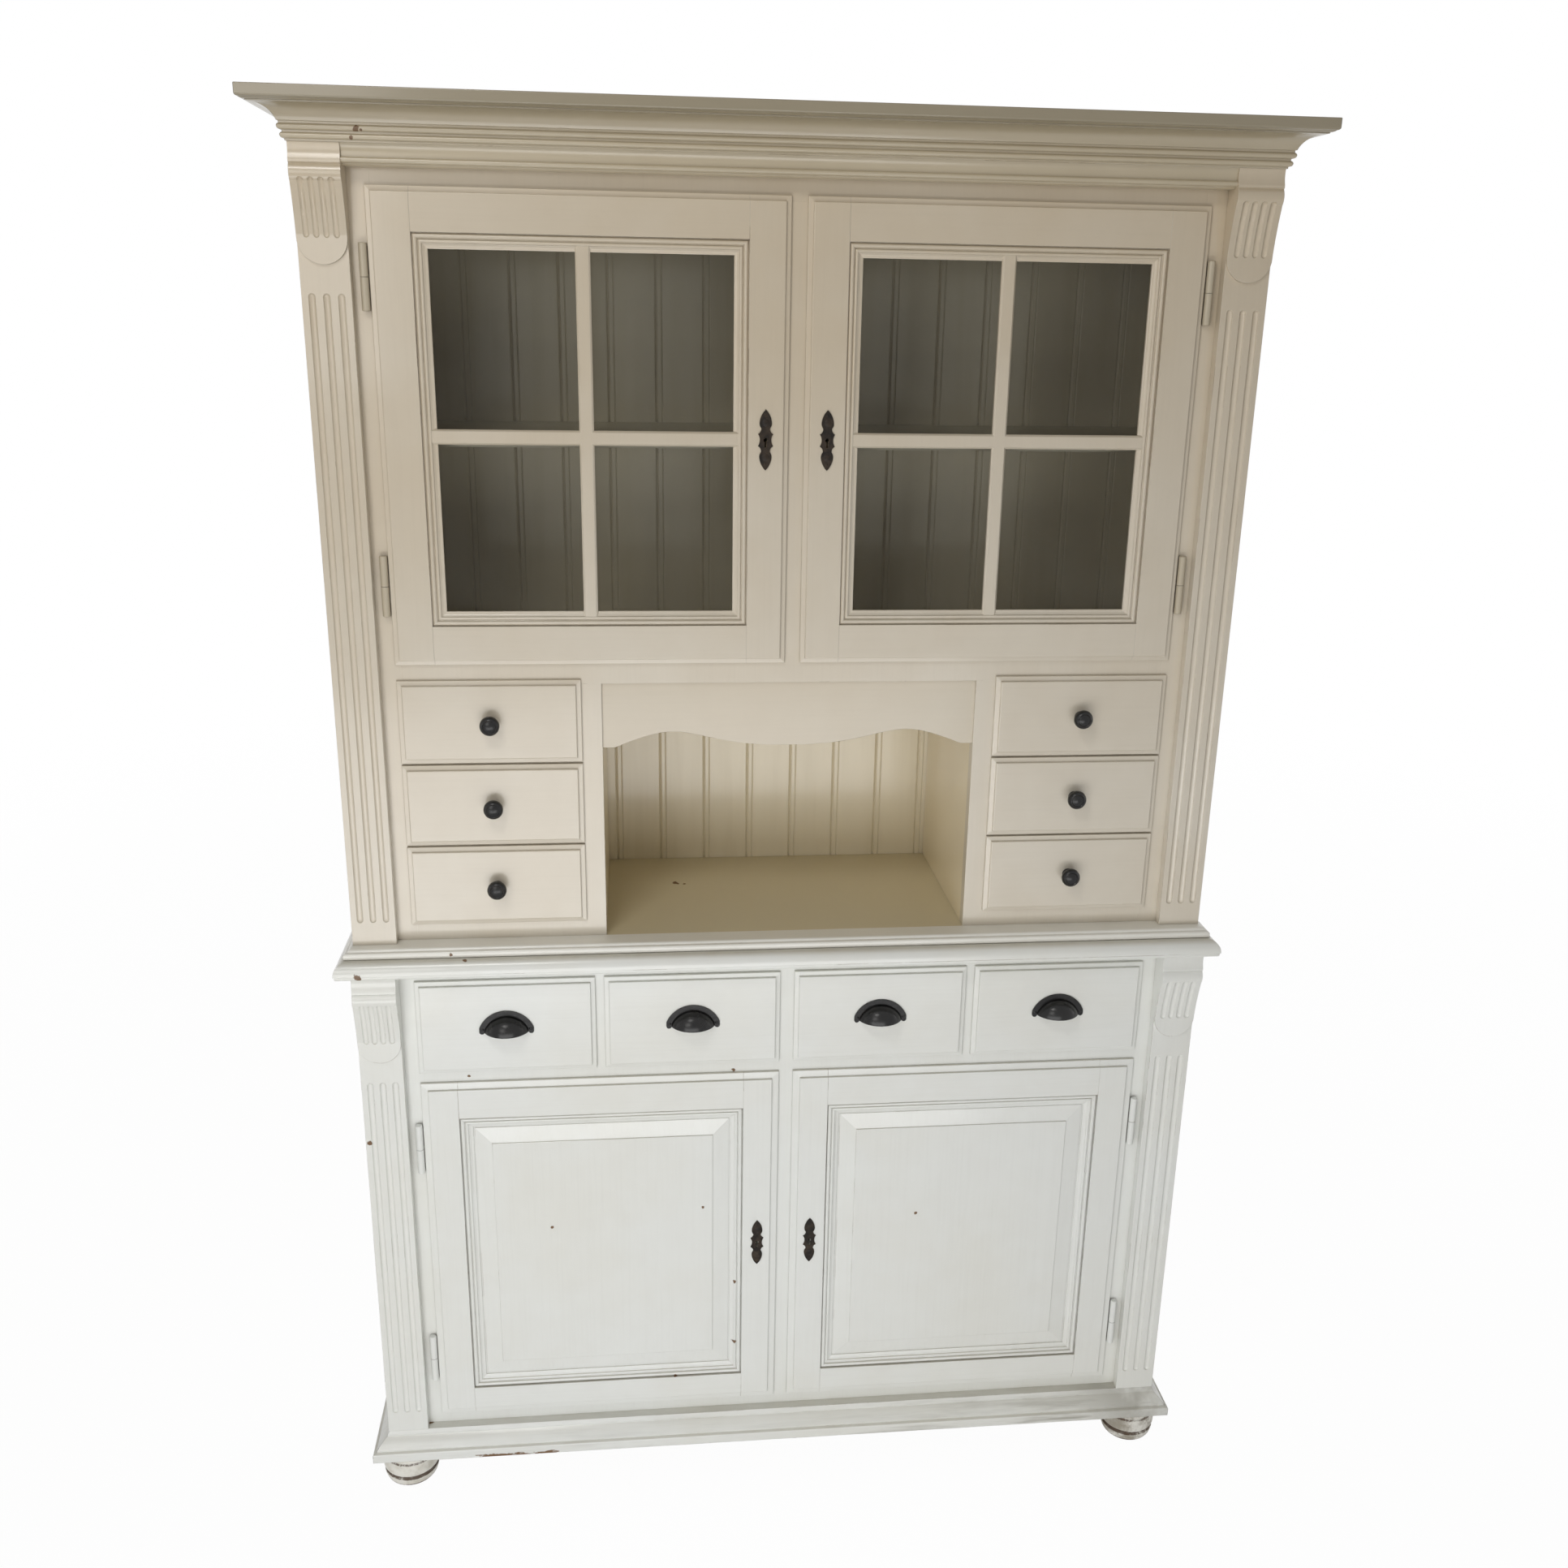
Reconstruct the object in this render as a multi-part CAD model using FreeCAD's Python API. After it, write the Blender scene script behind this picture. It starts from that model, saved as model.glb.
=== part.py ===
import FreeCAD, Part
import math
import os

Vector = FreeCAD.Vector

# Buffet and hutch: a painted pine cupboard in two units, a buffet below and a glazed hutch above it.
# Millimetres. X runs to the viewer's right, Y runs away from the viewer, Z is up.
# The origin is on the floor, in the middle of the width and of the overall depth.

# Case sizes
CASE_WIDTH = 1300.0
HUTCH_CASE_DEPTH = 338.0
BUFFET_STEP = 20.0
FOOT_HEIGHT = 63.0
PLINTH_HEIGHT = 42.0
TOP_THICKNESS = 25.0
HUTCH_BASE_THICKNESS = 14.0
CORNICE_HEIGHT = 59.0

# How far the mouldings stand out, each from the plane that it is planted on
PLINTH_PROJECTION = 24.0
TOP_PROJECTION = 24.0
HUTCH_BASE_PROJECTION = 11.0
HUTCH_BASE_STEP = 13.0
CORNICE_PROJECTION = 48.0
CORNICE_OFFSET = 32.0
CORNICE_SEAT = 18.0
BED_PROJECTION = 32.0
BED_HEIGHT = 26.0

# Boards
SIDE_THICKNESS = 18.0
SHELF_THICKNESS = 18.0
FRAME_THICKNESS = 20.0
BACK_THICKNESS = 12.0
BACK_BOARD_PITCH = 75.0
BACK_GROOVE = 2.5
BACK_BEAD = 9.0
BEAD_GROOVE = 1.2
TONGUE = 4.0
HOUSING_DEPTH = 6.0
CLEAT_SIZE = 20.0
SHELF_SETBACK = 40.0

# Pilasters and corbels
PILASTER_WIDTH = 64.0
PILASTER_PROUD = 16.0
FLUTE_COUNT = 3
FLUTE_RADIUS = 5.0
FLUTE_DEPTH = 3.0
FLUTE_MARGIN = 40.0
CORBEL_HEIGHT = 145.0
CORBEL_BLOCK = 24.0
CORBEL_PROUD = 18.0
CORBEL_ROLL = 3.0
CORBEL_TONGUE = 4.0
GOUGE_COUNT = 4
GOUGE_RADIUS = 4.5
GOUGE_DEPTH = 2.2

# Face frames: what shows between the lips of doors and drawers
FRAME_REVEAL = 22.0
CENTRE_REVEAL = 22.0
DIVIDER_REVEAL = 13.5
BUFFET_BOTTOM_REVEAL = 20.0
BUFFET_MIDDLE_REVEAL = 18.0
BUFFET_TOP_REVEAL = 20.0
HUTCH_BOTTOM_REVEAL = 26.0
HUTCH_MIDDLE_REVEAL = 23.0
HUTCH_TOP_REVEAL = 46.5
POST_REVEAL = 29.0
DRAWER_STACK_GAP = 3.0

# Doors and drawers, with the lip that covers the frame around each opening
LOWER_DOOR_HEIGHT = 614.0
UPPER_DOOR_HEIGHT = 631.0
BUFFET_DRAWER_HEIGHT = 153.0
HUTCH_DRAWER_HEIGHT = 122.5
HUTCH_DRAWER_WIDTH = 259.5
HUTCH_DRAWER_COUNT = 3
LIP_OVERLAP = 7.0
LIP_BAND = 5.0
FRONT_PROUD = 10.0
FRONT_EDGE = 7.0
LOWER_DOOR_EDGE = 11.0
OPENING_GAP = 2.0
SEAT_GAP = 0.3
DOOR_THICKNESS = 22.0
DOOR_STILE = 56.0
UPPER_DOOR_RAIL = 56.0
LOWER_DOOR_BOTTOM_RAIL = 51.0
LOWER_DOOR_TOP_RAIL = 60.0
MOULDING_WIDTH = 20.0
MOULDING_DROP = 1.5
GLASS_THICKNESS = 3.0
GLASS_SETBACK = 3.0
GLASS_BEAD = 8.0
GLASS_EDGE_GAP = 0.5
BAR_WIDTH = 20.0
BAR_PROUD = 5.0
BAR_BEVEL = 2.5
PANEL_THICKNESS = 6.0
PANEL_TONGUE = 8.0
PANEL_RAISE = 7.0
PANEL_BEVEL = 26.0
DRAWER_FRONT_THICKNESS = 20.0
DRAWER_SIDE = 12.0
DRAWER_BOTTOM = 6.0
DRAWER_BOTTOM_LIFT = 8.0
DRAWER_GROOVE = 5.0
DRAWER_HEADROOM = 4.0
DRAWER_BACK_DROP = 8.0
DRAWER_BACK_ROOM = 22.0

# Drawer runners, guides and kickers
RUNNER_LAP = 14.0
GUIDE_WIDTH = 20.0
GUIDE_HEIGHT = 15.0
GUIDE_GAP = 0.5

# Hinges: lift-off, a knuckle with a pin on the frame and a bored knuckle on the door
KNUCKLE_RADIUS = 5.5
KNUCKLE_LENGTH = 42.5
KNUCKLE_GAP = 0.4
KNUCKLE_CLEARANCE = 0.7
KNUCKLE_ROUND = 1.5
PIN_RADIUS = 2.5
PIN_CLEARANCE = 0.05
PIN_LENGTH = 36.0
PIN_END_ROOM = 1.0
LEAF_THICKNESS = 1.6
LEAF_LEVEL = 1.3
LEAF_DEPTH = 20.0
LEAF_MARGIN = 4.0
HINGE_INSET = 70.0

# Locks
ESCUTCHEON_HEIGHT = 82.0
ESCUTCHEON_WIDTH = 21.0
ESCUTCHEON_THICKNESS = 1.6
ESCUTCHEON_INSET = 32.0
KEYHOLE_RADIUS = 3.0
KEYHOLE_SLOT = 2.4
KEYHOLE_DROP = 10.0
NAIL_RADIUS = 1.8
NAIL_INSET = 8.0
BOSS_RADIUS = 5.0
BOSS_RISE = 1.0
LOCK_WIDTH = 42.0
LOCK_HEIGHT = 60.0
LOCK_EDGE = 2.0
LOCK_WALL = 2.4
BOLT_HEIGHT = 12.0
BOLT_THICKNESS = 4.0
BOLT_LENGTH = 34.0
BOLT_CLEARANCE = 0.3
BOLT_STILE_GAP = 1.3

# Pulls and feet
KNOB_RADIUS = 14.0
KNOB_REACH = 26.0
KNOB_RIM = 4.2
SPINDLE_RADIUS = 2.2
SPINDLE_CLEARANCE = 0.3
NUT_RADIUS = 6.0
NUT_THICKNESS = 3.0
CUP_HALF_WIDTH = 33.0
CUP_RADIUS = 26.0
CUP_WALL = 2.0
CUP_FLANGE = 8.0
CUP_LIFT = 6.0
SCREW_RADIUS = 2.6
FOOT_DIAMETER = 92.0
FOOT_INSET = 53.0
FOOT_TENON = 24.0
FOOT_TENON_LENGTH = 26.0
TENON_CLEARANCE = 0.3
PLINTH_RAIL = 62.0
CORNER_BLOCK = 60.0

# Scalloped board over the niche
VALANCE_DROP = 97.0
VALANCE_RISE = 23.0
VALANCE_FLAT = 18.0
VALANCE_CREST = 100.0
VALANCE_THICKNESS = 14.0
VALANCE_SETBACK = 4.0

# Planes and levels that follow from the sizes above
HALF = CASE_WIDTH / 2
INNER = HALF - SIDE_THICKNESS
BACK = (HUTCH_CASE_DEPTH + CORNICE_OFFSET + CORNICE_PROJECTION) / 2
BACK_FRONT = BACK - BACK_THICKNESS
HUTCH_FACE = BACK - HUTCH_CASE_DEPTH
BUFFET_FACE = HUTCH_FACE - BUFFET_STEP
PLINTH_TOP = FOOT_HEIGHT + PLINTH_HEIGHT
PILASTER_INNER = HALF - PILASTER_WIDTH
FRONT_OUTER = PILASTER_INNER - FRAME_REVEAL
FRONT_INNER = CENTRE_REVEAL / 2
STILE_EDGE = FRONT_OUTER - LIP_OVERLAP
CENTRE_EDGE = FRONT_INNER + LIP_OVERLAP
REBATE = LIP_OVERLAP + OPENING_GAP

# Levels from the floor up; those of the fronts are the edges of their lips
LOWER_DOOR_Z = PLINTH_TOP + BUFFET_BOTTOM_REVEAL
LOWER_DOOR_TOP = LOWER_DOOR_Z + LOWER_DOOR_HEIGHT
BUFFET_DRAWER_Z = LOWER_DOOR_TOP + BUFFET_MIDDLE_REVEAL
BUFFET_DRAWER_TOP = BUFFET_DRAWER_Z + BUFFET_DRAWER_HEIGHT
BUFFET_TOP = BUFFET_DRAWER_TOP + BUFFET_TOP_REVEAL
BASE_BOTTOM = BUFFET_TOP + TOP_THICKNESS
HUTCH_BOTTOM = BASE_BOTTOM + HUTCH_BASE_THICKNESS
BUFFET_DRAWER_WIDTH = (FRONT_OUTER - FRONT_INNER - DIVIDER_REVEAL) / 2
BUFFET_DRAWER_XS = (FRONT_INNER, FRONT_OUTER - BUFFET_DRAWER_WIDTH)
HUTCH_DRAWER_X = FRONT_OUTER - HUTCH_DRAWER_WIDTH
HUTCH_DRAWER_PITCH = HUTCH_DRAWER_HEIGHT + DRAWER_STACK_GAP
HUTCH_DRAWER_ZS = []
for row in range(HUTCH_DRAWER_COUNT):
    HUTCH_DRAWER_ZS.append(HUTCH_BOTTOM + HUTCH_BOTTOM_REVEAL + row * HUTCH_DRAWER_PITCH)
DRAWER_STACK_TOP = HUTCH_DRAWER_ZS[-1] + HUTCH_DRAWER_HEIGHT
UPPER_DOOR_Z = DRAWER_STACK_TOP + HUTCH_MIDDLE_REVEAL
UPPER_DOOR_TOP = UPPER_DOOR_Z + UPPER_DOOR_HEIGHT
HUTCH_TOP = UPPER_DOOR_TOP + HUTCH_TOP_REVEAL
CORNICE_TOP = HUTCH_TOP + CORNICE_HEIGHT
NICHE_HALF = HUTCH_DRAWER_X - POST_REVEAL
POST_OUTER = HUTCH_DRAWER_X + LIP_OVERLAP
NICHE_WALL = NICHE_HALF + SIDE_THICKNESS
BUFFET_FLOOR = LOWER_DOOR_Z + LIP_OVERLAP
BUFFET_DECK = BUFFET_DRAWER_Z + LIP_OVERLAP
HUTCH_DECK = UPPER_DOOR_Z + LIP_OVERLAP
MIDDLE_RAIL_BOTTOM = DRAWER_STACK_TOP - LIP_OVERLAP
BUFFET_SHELF = LOWER_DOOR_Z + LOWER_DOOR_HEIGHT / 2
HUTCH_SHELF = UPPER_DOOR_Z + UPPER_DOOR_HEIGHT / 2

# Hinge axis, measured from the lip of the door and from the face of the frame
HINGE_X = FRONT_OUTER + KNUCKLE_RADIUS + KNUCKLE_CLEARANCE
HINGE_LEVEL = KNUCKLE_RADIUS + KNUCKLE_GAP


def box(x0, x1, y0, y1, z0, z1):
    """Board between two corners, whichever way round each pair is given."""
    low = Vector(min(x0, x1), min(y0, y1), min(z0, z1))
    return Part.makeBox(abs(x1 - x0), abs(y1 - y0), abs(z1 - z0), low)


def mirrored(shape):
    """The same piece on the other side of the middle plane."""
    return shape.mirror(Vector(0, 0, 0), Vector(1, 0, 0))


def both_sides(shapes):
    """Pieces and their mirror images."""
    return shapes + [mirrored(shape) for shape in shapes]


def chain(place, profile, flip=1.0, shift=0.0):
    """Edges along a profile; a point of four numbers is reached by an arc through its last two."""
    edges = []
    for before, after in zip(profile, profile[1:]):
        start = place(shift + flip * before[0], before[1])
        end = place(shift + flip * after[0], after[1])
        if len(after) == 4:
            middle = place(shift + flip * after[2], after[3])
            edges.append(Part.Arc(start, middle, end).toShape())
        else:
            edges.append(Part.makeLine(start, end))
    return edges


def face_of(edges):
    """Flat face inside a closed run of edges."""
    return Part.Face(Part.Wire(Part.__sortEdges__(edges)))


def section(place, profile, low, high, both=True):
    """Section of a board whose low edge, or both edges, carry a profile of (inset, level) points."""
    first = profile[0]
    last = profile[-1]
    edges = chain(place, profile, 1.0, low)
    if both:
        edges += chain(place, profile, -1.0, high)
        far_first = place(high - first[0], first[1])
        far_last = place(high - last[0], last[1])
    else:
        far_first = place(high, first[1])
        far_last = place(high, last[1])
        edges.append(Part.makeLine(far_first, far_last))
    edges.append(Part.makeLine(place(low + first[0], first[1]), far_first))
    edges.append(Part.makeLine(place(low + last[0], last[1]), far_last))
    return face_of(edges)


def moulded_panel(x0, x1, z0, z1, face, profile):
    """Upright panel with one profile of (inset, height before the face) on all four edges, mitred."""
    across = section(lambda s, d: Vector(s, face - d, z0), profile, x0, x1)
    upright = section(lambda s, d: Vector(x0, face - d, s), profile, z0, z1)
    tall = across.extrude(Vector(0, 0, z1 - z0))
    wide = upright.extrude(Vector(x1 - x0, 0, 0))
    return tall.common(wide)


def moulded_board(front, profile):
    """Level board as wide as the case, moulded on its front and two ends; the back is straight."""
    reach = max(-point[0] for point in profile)
    ends = section(lambda s, z: Vector(s, front - reach, z), profile, -HALF, HALF)
    fore = section(lambda s, z: Vector(-HALF - reach, s, z), profile, front, BACK, both=False)
    deep = ends.extrude(Vector(0, BACK - front + reach, 0))
    wide = fore.extrude(Vector(2 * (HALF + reach), 0, 0))
    return deep.common(wide)


def prism(corners, z0, z1):
    """Upright prism over a plan outline of (x, y) corners."""
    points = [Vector(x, y, z0) for x, y in corners]
    return Part.Face(Part.makePolygon(points + points[:1])).extrude(Vector(0, 0, z1 - z0))


def mitred_front(block, front, depth):
    """A moulded board parted by 45 degree mitres into its front and its two sides."""
    reach = HALF
    corners = [
        (-HALF - reach, front - reach),
        (HALF + reach, front - reach),
        (HALF - depth, front + depth),
        (depth - HALF, front + depth),
    ]
    wedge = prism(corners, 0, CORNICE_TOP + 1)
    return block.common(wedge).Solids + block.cut(wedge).Solids


def mitred_lengths(profile, hole, face):
    """Four mitred lengths around the inside of a hole; the profile holds (reach inwards, level) points."""
    x0, x1, z0, z1 = hole
    places = [
        (lambda s, d: Vector(x0, face - d, z0 + s), Vector(x1 - x0, 0, 0)),
        (lambda s, d: Vector(x1 - s, face - d, z0), Vector(0, 0, z1 - z0)),
        (lambda s, d: Vector(x0, face - d, z1 - s), Vector(x1 - x0, 0, 0)),
        (lambda s, d: Vector(x0 + s, face - d, z0), Vector(0, 0, z1 - z0)),
    ]
    half = min(x1 - x0, z1 - z0) / 2
    middle = [(x0 + half, z0 + half), (x1 - half, z0 + half), (x1 - half, z1 - half), (x0 + half, z1 - half)]
    outer = [(x0, z0), (x1, z0), (x1, z1), (x0, z1)]
    pieces = []
    for side, (place, run) in enumerate(places):
        after = (side + 1) % 4
        loop = []
        for x, z in (outer[side], outer[after], middle[after], middle[side]):
            point = Vector(x, face - DOOR_THICKNESS, z)
            if not loop or loop[-1].distanceToPoint(point) > 0.001:
                loop.append(point)
        wedge = Part.Face(Part.makePolygon(loop + loop[:1])).extrude(Vector(0, 2 * DOOR_THICKNESS, 0))
        pieces.append(face_of(chain(place, profile)).extrude(run).common(wedge))
    return pieces


def turned(place, profile, base, axis):
    """Solid of revolution of a profile of (radius, level) points about its axis."""
    edges = chain(place, profile)
    first = place(profile[0][0], profile[0][1])
    last = place(profile[-1][0], profile[-1][1])
    if first.distanceToPoint(last) > 0.001:
        edges.append(Part.makeLine(last, first))
    return face_of(edges).revolve(base, axis, 360)


def turned_upright(x, y, profile):
    """Turned piece on an upright axis; the profile holds (radius, z) points."""
    return turned(lambda r, z: Vector(x + r, y, z), profile, Vector(x, y, 0), Vector(0, 0, 1))


def turned_forward(x, face, z, profile):
    """Turned piece on an axis along Y; the profile holds (radius, height before the face) points."""
    return turned(lambda r, d: Vector(x + r, face - d, z), profile, Vector(x, face, z), Vector(0, 1, 0))


def dome(radius, level, rise):
    """Profile point that closes a turned piece with a spherical cap of this radius and rise."""
    sphere = (radius * radius + rise * rise) / (2 * rise)
    half = radius / 2
    drop = sphere - (sphere * sphere - half * half) ** 0.5
    return (0.0, level + rise, half, level + rise - drop)


def write(node, shapes):
    """Write one node; its pieces stay separate solids."""
    solids = []
    for shape in shapes:
        solids += shape.Solids
    whole = solids[0] if len(solids) == 1 else Part.Compound(solids)
    whole.exportStep("parts/" + node + ".step")
    print(node, len(solids))


# Feet: flattened buns with a ring groove, each on a tenon in a corner of the plinth
PLINTH_FACE = BUFFET_FACE - PILASTER_PROUD
PLINTH_FRONT = PLINTH_FACE - PLINTH_PROJECTION
PLINTH_HALF = HALF + PLINTH_PROJECTION
FOOT_SPOTS = []
for foot_x in (PLINTH_HALF - FOOT_INSET, FOOT_INSET - PLINTH_HALF):
    FOOT_SPOTS.append((foot_x, PLINTH_FRONT + FOOT_INSET))
    FOOT_SPOTS.append((foot_x, BACK - FOOT_INSET))


def bun_foot(x, y):
    """One turned foot with its tenon."""
    radius = FOOT_DIAMETER / 2
    profile = [
        (0.0, 0.0),
        (radius - 10.0, 0.0),
        (radius - 3.0, 12.0, radius - 4.5, 5.0),
        (radius - 3.0, 17.0, radius - 1.5, 14.5),
        (radius - 5.0, 19.0),
        (radius - 5.0, 21.5),
        (radius, 28.0, radius - 1.2, 24.0),
        (radius - 14.0, FOOT_HEIGHT, radius - 3.0, FOOT_HEIGHT - 16.0),
        (FOOT_TENON / 2, FOOT_HEIGHT),
        (FOOT_TENON / 2, FOOT_HEIGHT + FOOT_TENON_LENGTH),
        (0.0, FOOT_HEIGHT + FOOT_TENON_LENGTH),
    ]
    return turned_upright(x, y, profile)


# Plinth: mitred moulded rails, a plain back rail and glued corner blocks, bored for the feet
def plinth():
    """Rails and blocks of the plinth."""
    reach = PLINTH_PROJECTION
    bottom = FOOT_HEIGHT
    profile = [
        (-reach, bottom),
        (-reach, bottom + 13.0),
        (2.0 - reach, bottom + 15.5, 0.5 - reach, bottom + 14.8),
        (5.5 - reach, bottom + 16.5),
        (5.5 - reach, bottom + 19.0),
        (-2.5, PLINTH_TOP - 8.0, -reach / 2, bottom + 26.0),
        (-2.5, PLINTH_TOP - 5.5),
        (1.0, PLINTH_TOP),
    ]
    inner_x = PLINTH_HALF - PLINTH_RAIL
    inner_y = PLINTH_FRONT + PLINTH_RAIL
    back_y = BACK - PLINTH_RAIL
    block = moulded_board(PLINTH_FACE, profile)
    block = block.cut(box(-inner_x, inner_x, inner_y, BACK + 1, 0, PLINTH_TOP + 1))
    pieces = mitred_front(block, PLINTH_FACE, inner_y - PLINTH_FACE)
    pieces.append(box(-inner_x, inner_x, back_y, BACK, bottom, PLINTH_TOP))
    for near_y, far_y in ((inner_y, inner_y + CORNER_BLOCK), (back_y, back_y - CORNER_BLOCK)):
        pieces += both_sides([box(inner_x, inner_x - CORNER_BLOCK, near_y, far_y, bottom, PLINTH_TOP)])
    bored = []
    for piece in pieces:
        for x, y in FOOT_SPOTS:
            bore = Part.makeCylinder(
                FOOT_TENON / 2 + TENON_CLEARANCE, FOOT_TENON_LENGTH + TENON_CLEARANCE, Vector(x, y, bottom))
            piece = piece.cut(bore)
        bored.append(piece)
    return bored


# Back boards: tongued and grooved, with a V and a bead at each joint on the inside
def back_boards(z0, z1):
    """Upright boards that close the back between the sides."""
    count = max(2, round(2 * INNER / BACK_BOARD_PITCH))
    pitch = 2 * INNER / count
    middle = (BACK_FRONT + BACK) / 2
    boards = []
    for index in range(count):
        left = -INNER + index * pitch
        right = left + pitch
        corners = [
            (left + BACK_GROOVE, BACK_FRONT),
            (left + BACK_BEAD - BEAD_GROOVE, BACK_FRONT),
            (left + BACK_BEAD, BACK_FRONT + BEAD_GROOVE),
            (left + BACK_BEAD + BEAD_GROOVE, BACK_FRONT),
            (right - BACK_GROOVE, BACK_FRONT),
            (right, BACK_FRONT + BACK_GROOVE),
        ]
        if index < count - 1:
            corners += [
                (right, middle - TONGUE / 2),
                (right + TONGUE, middle - TONGUE / 2),
                (right + TONGUE, middle + TONGUE / 2),
                (right, middle + TONGUE / 2),
            ]
        corners += [(right, BACK), (left, BACK)]
        if index > 0:
            corners += [
                (left, middle + TONGUE / 2),
                (left + TONGUE, middle + TONGUE / 2),
                (left + TONGUE, middle - TONGUE / 2),
                (left, middle - TONGUE / 2),
            ]
        corners.append((left, BACK_FRONT + BACK_GROOVE))
        boards.append(prism(corners, z0, z1))
    return boards


# Cases: sides with housed boards
def housed_board(face, top):
    """Level board between the sides, let into them, its upper face at the given level."""
    reach = INNER + HOUSING_DEPTH
    return box(-reach, reach, face + FRAME_THICKNESS, BACK_FRONT, top - SHELF_THICKNESS, top)


def case_sides(face, z0, z1, boards):
    """The two sides, housed for their boards."""
    side = box(INNER, HALF, face + FRAME_THICKNESS, BACK, z0, z1)
    for board in boards:
        side = side.cut(board)
    return both_sides([side])


def shelf_with_cleats(face, top):
    """Loose shelf on a cleat at each end and one along the back."""
    front = face + FRAME_THICKNESS + SHELF_SETBACK
    bottom = top - SHELF_THICKNESS
    shelf = box(-INNER, INNER, front, BACK_FRONT, bottom, top)
    side_cleat = box(INNER - CLEAT_SIZE, INNER, front, BACK_FRONT, bottom - CLEAT_SIZE, bottom)
    inner = INNER - CLEAT_SIZE
    back_cleat = box(-inner, inner, BACK_FRONT - CLEAT_SIZE, BACK_FRONT, bottom - CLEAT_SIZE, bottom)
    return [shelf, back_cleat] + both_sides([side_cleat])


# Pilasters: fluted strips on the frame, each under a carved corbel
def pilaster(face, z0, z1):
    """Fluted strip on the right-hand side."""
    front = face - PILASTER_PROUD
    strip = box(PILASTER_INNER, HALF, front, face, z0, z1)
    low = z0 + FLUTE_MARGIN
    high = z1 - CORBEL_HEIGHT - FLUTE_MARGIN
    axis_y = front - (FLUTE_RADIUS - FLUTE_DEPTH)
    spacing = PILASTER_WIDTH / (FLUTE_COUNT + 0.4)
    for index in range(FLUTE_COUNT):
        x = (PILASTER_INNER + HALF) / 2 + (index - (FLUTE_COUNT - 1) / 2) * spacing
        flute = Part.makeCylinder(FLUTE_RADIUS, high - low, Vector(x, axis_y, low))
        flute = flute.fuse(Part.makeSphere(FLUTE_RADIUS, Vector(x, axis_y, low)))
        flute = flute.fuse(Part.makeSphere(FLUTE_RADIUS, Vector(x, axis_y, high)))
        strip = strip.cut(flute)
    return strip


def corbel(face, top):
    """Carved bracket on the right-hand pilaster: hollow cap, roll, gouged sweep and half-round tongue."""
    front = face - PILASTER_PROUD
    bottom = top - CORBEL_HEIGHT
    cap = top - CORBEL_BLOCK
    roll = CORBEL_PROUD + CORBEL_ROLL
    sweep_top = cap - 22.0
    sweep_end = bottom + 36.0
    sweep_middle = (CORBEL_TONGUE + 4.0, (sweep_top + sweep_end) / 2 - 6.0)
    profile = [
        (0.0, bottom),
        (CORBEL_TONGUE, bottom),
        (CORBEL_TONGUE, sweep_end),
        (roll - 3.5, sweep_top) + sweep_middle,
        (CORBEL_PROUD - 1.0, cap - 1.5, roll, cap - 11.0),
        (CORBEL_PROUD + 1.0, cap),
        (CORBEL_PROUD + 1.0, cap + 3.0),
        (CORBEL_PROUD - 1.5, top, CORBEL_PROUD - 1.5, cap + 10.0),
        (0.0, top),
    ]
    edges = chain(lambda d, z: Vector(PILASTER_INNER, front - d, z), profile)
    edges.append(Part.makeLine(edges[-1].Vertexes[-1].Point, Vector(PILASTER_INNER, front, bottom)))
    body = face_of(edges).extrude(Vector(PILASTER_WIDTH, 0, 0))
    radius = PILASTER_WIDTH / 2
    centre_x = PILASTER_INNER + radius
    reach = roll + 10.0
    tongue = Part.makeCylinder(radius, reach, Vector(centre_x, front - reach, bottom + radius), Vector(0, 1, 0))
    arch = tongue.fuse(box(PILASTER_INNER, HALF, front - reach, front, bottom + radius, top))
    body = body.common(arch)
    lift = GOUGE_RADIUS - GOUGE_DEPTH
    places = [(CORBEL_TONGUE, sweep_end), sweep_middle, (roll - 3.5, sweep_top)]
    spacing = PILASTER_WIDTH / (GOUGE_COUNT + 1)
    for index in range(GOUGE_COUNT):
        x = PILASTER_INNER + (index + 1) * spacing
        start, middle, end = [Vector(x, front - d - lift, z) for d, z in places]
        path = Part.Arc(start, middle, end).toShape()
        centre = path.Curve.Center
        axis = path.Curve.Axis
        round_bit = Part.Circle(start, axis.cross(start - centre), GOUGE_RADIUS)
        turn = math.degrees(path.LastParameter - path.FirstParameter)
        gouge = Part.Face(Part.Wire(round_bit.toShape())).revolve(centre, axis, turn)
        for point in (start, end):
            gouge = gouge.fuse(Part.makeSphere(GOUGE_RADIUS, point))
        body = body.cut(gouge)
    return body


# Face frames: stiles, rails, dividers and posts, each a piece of its own
def frame_piece(face, x0, x1, z0, z1):
    """One flat member of a face frame."""
    return box(x0, x1, face, face + FRAME_THICKNESS, z0, z1)


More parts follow.
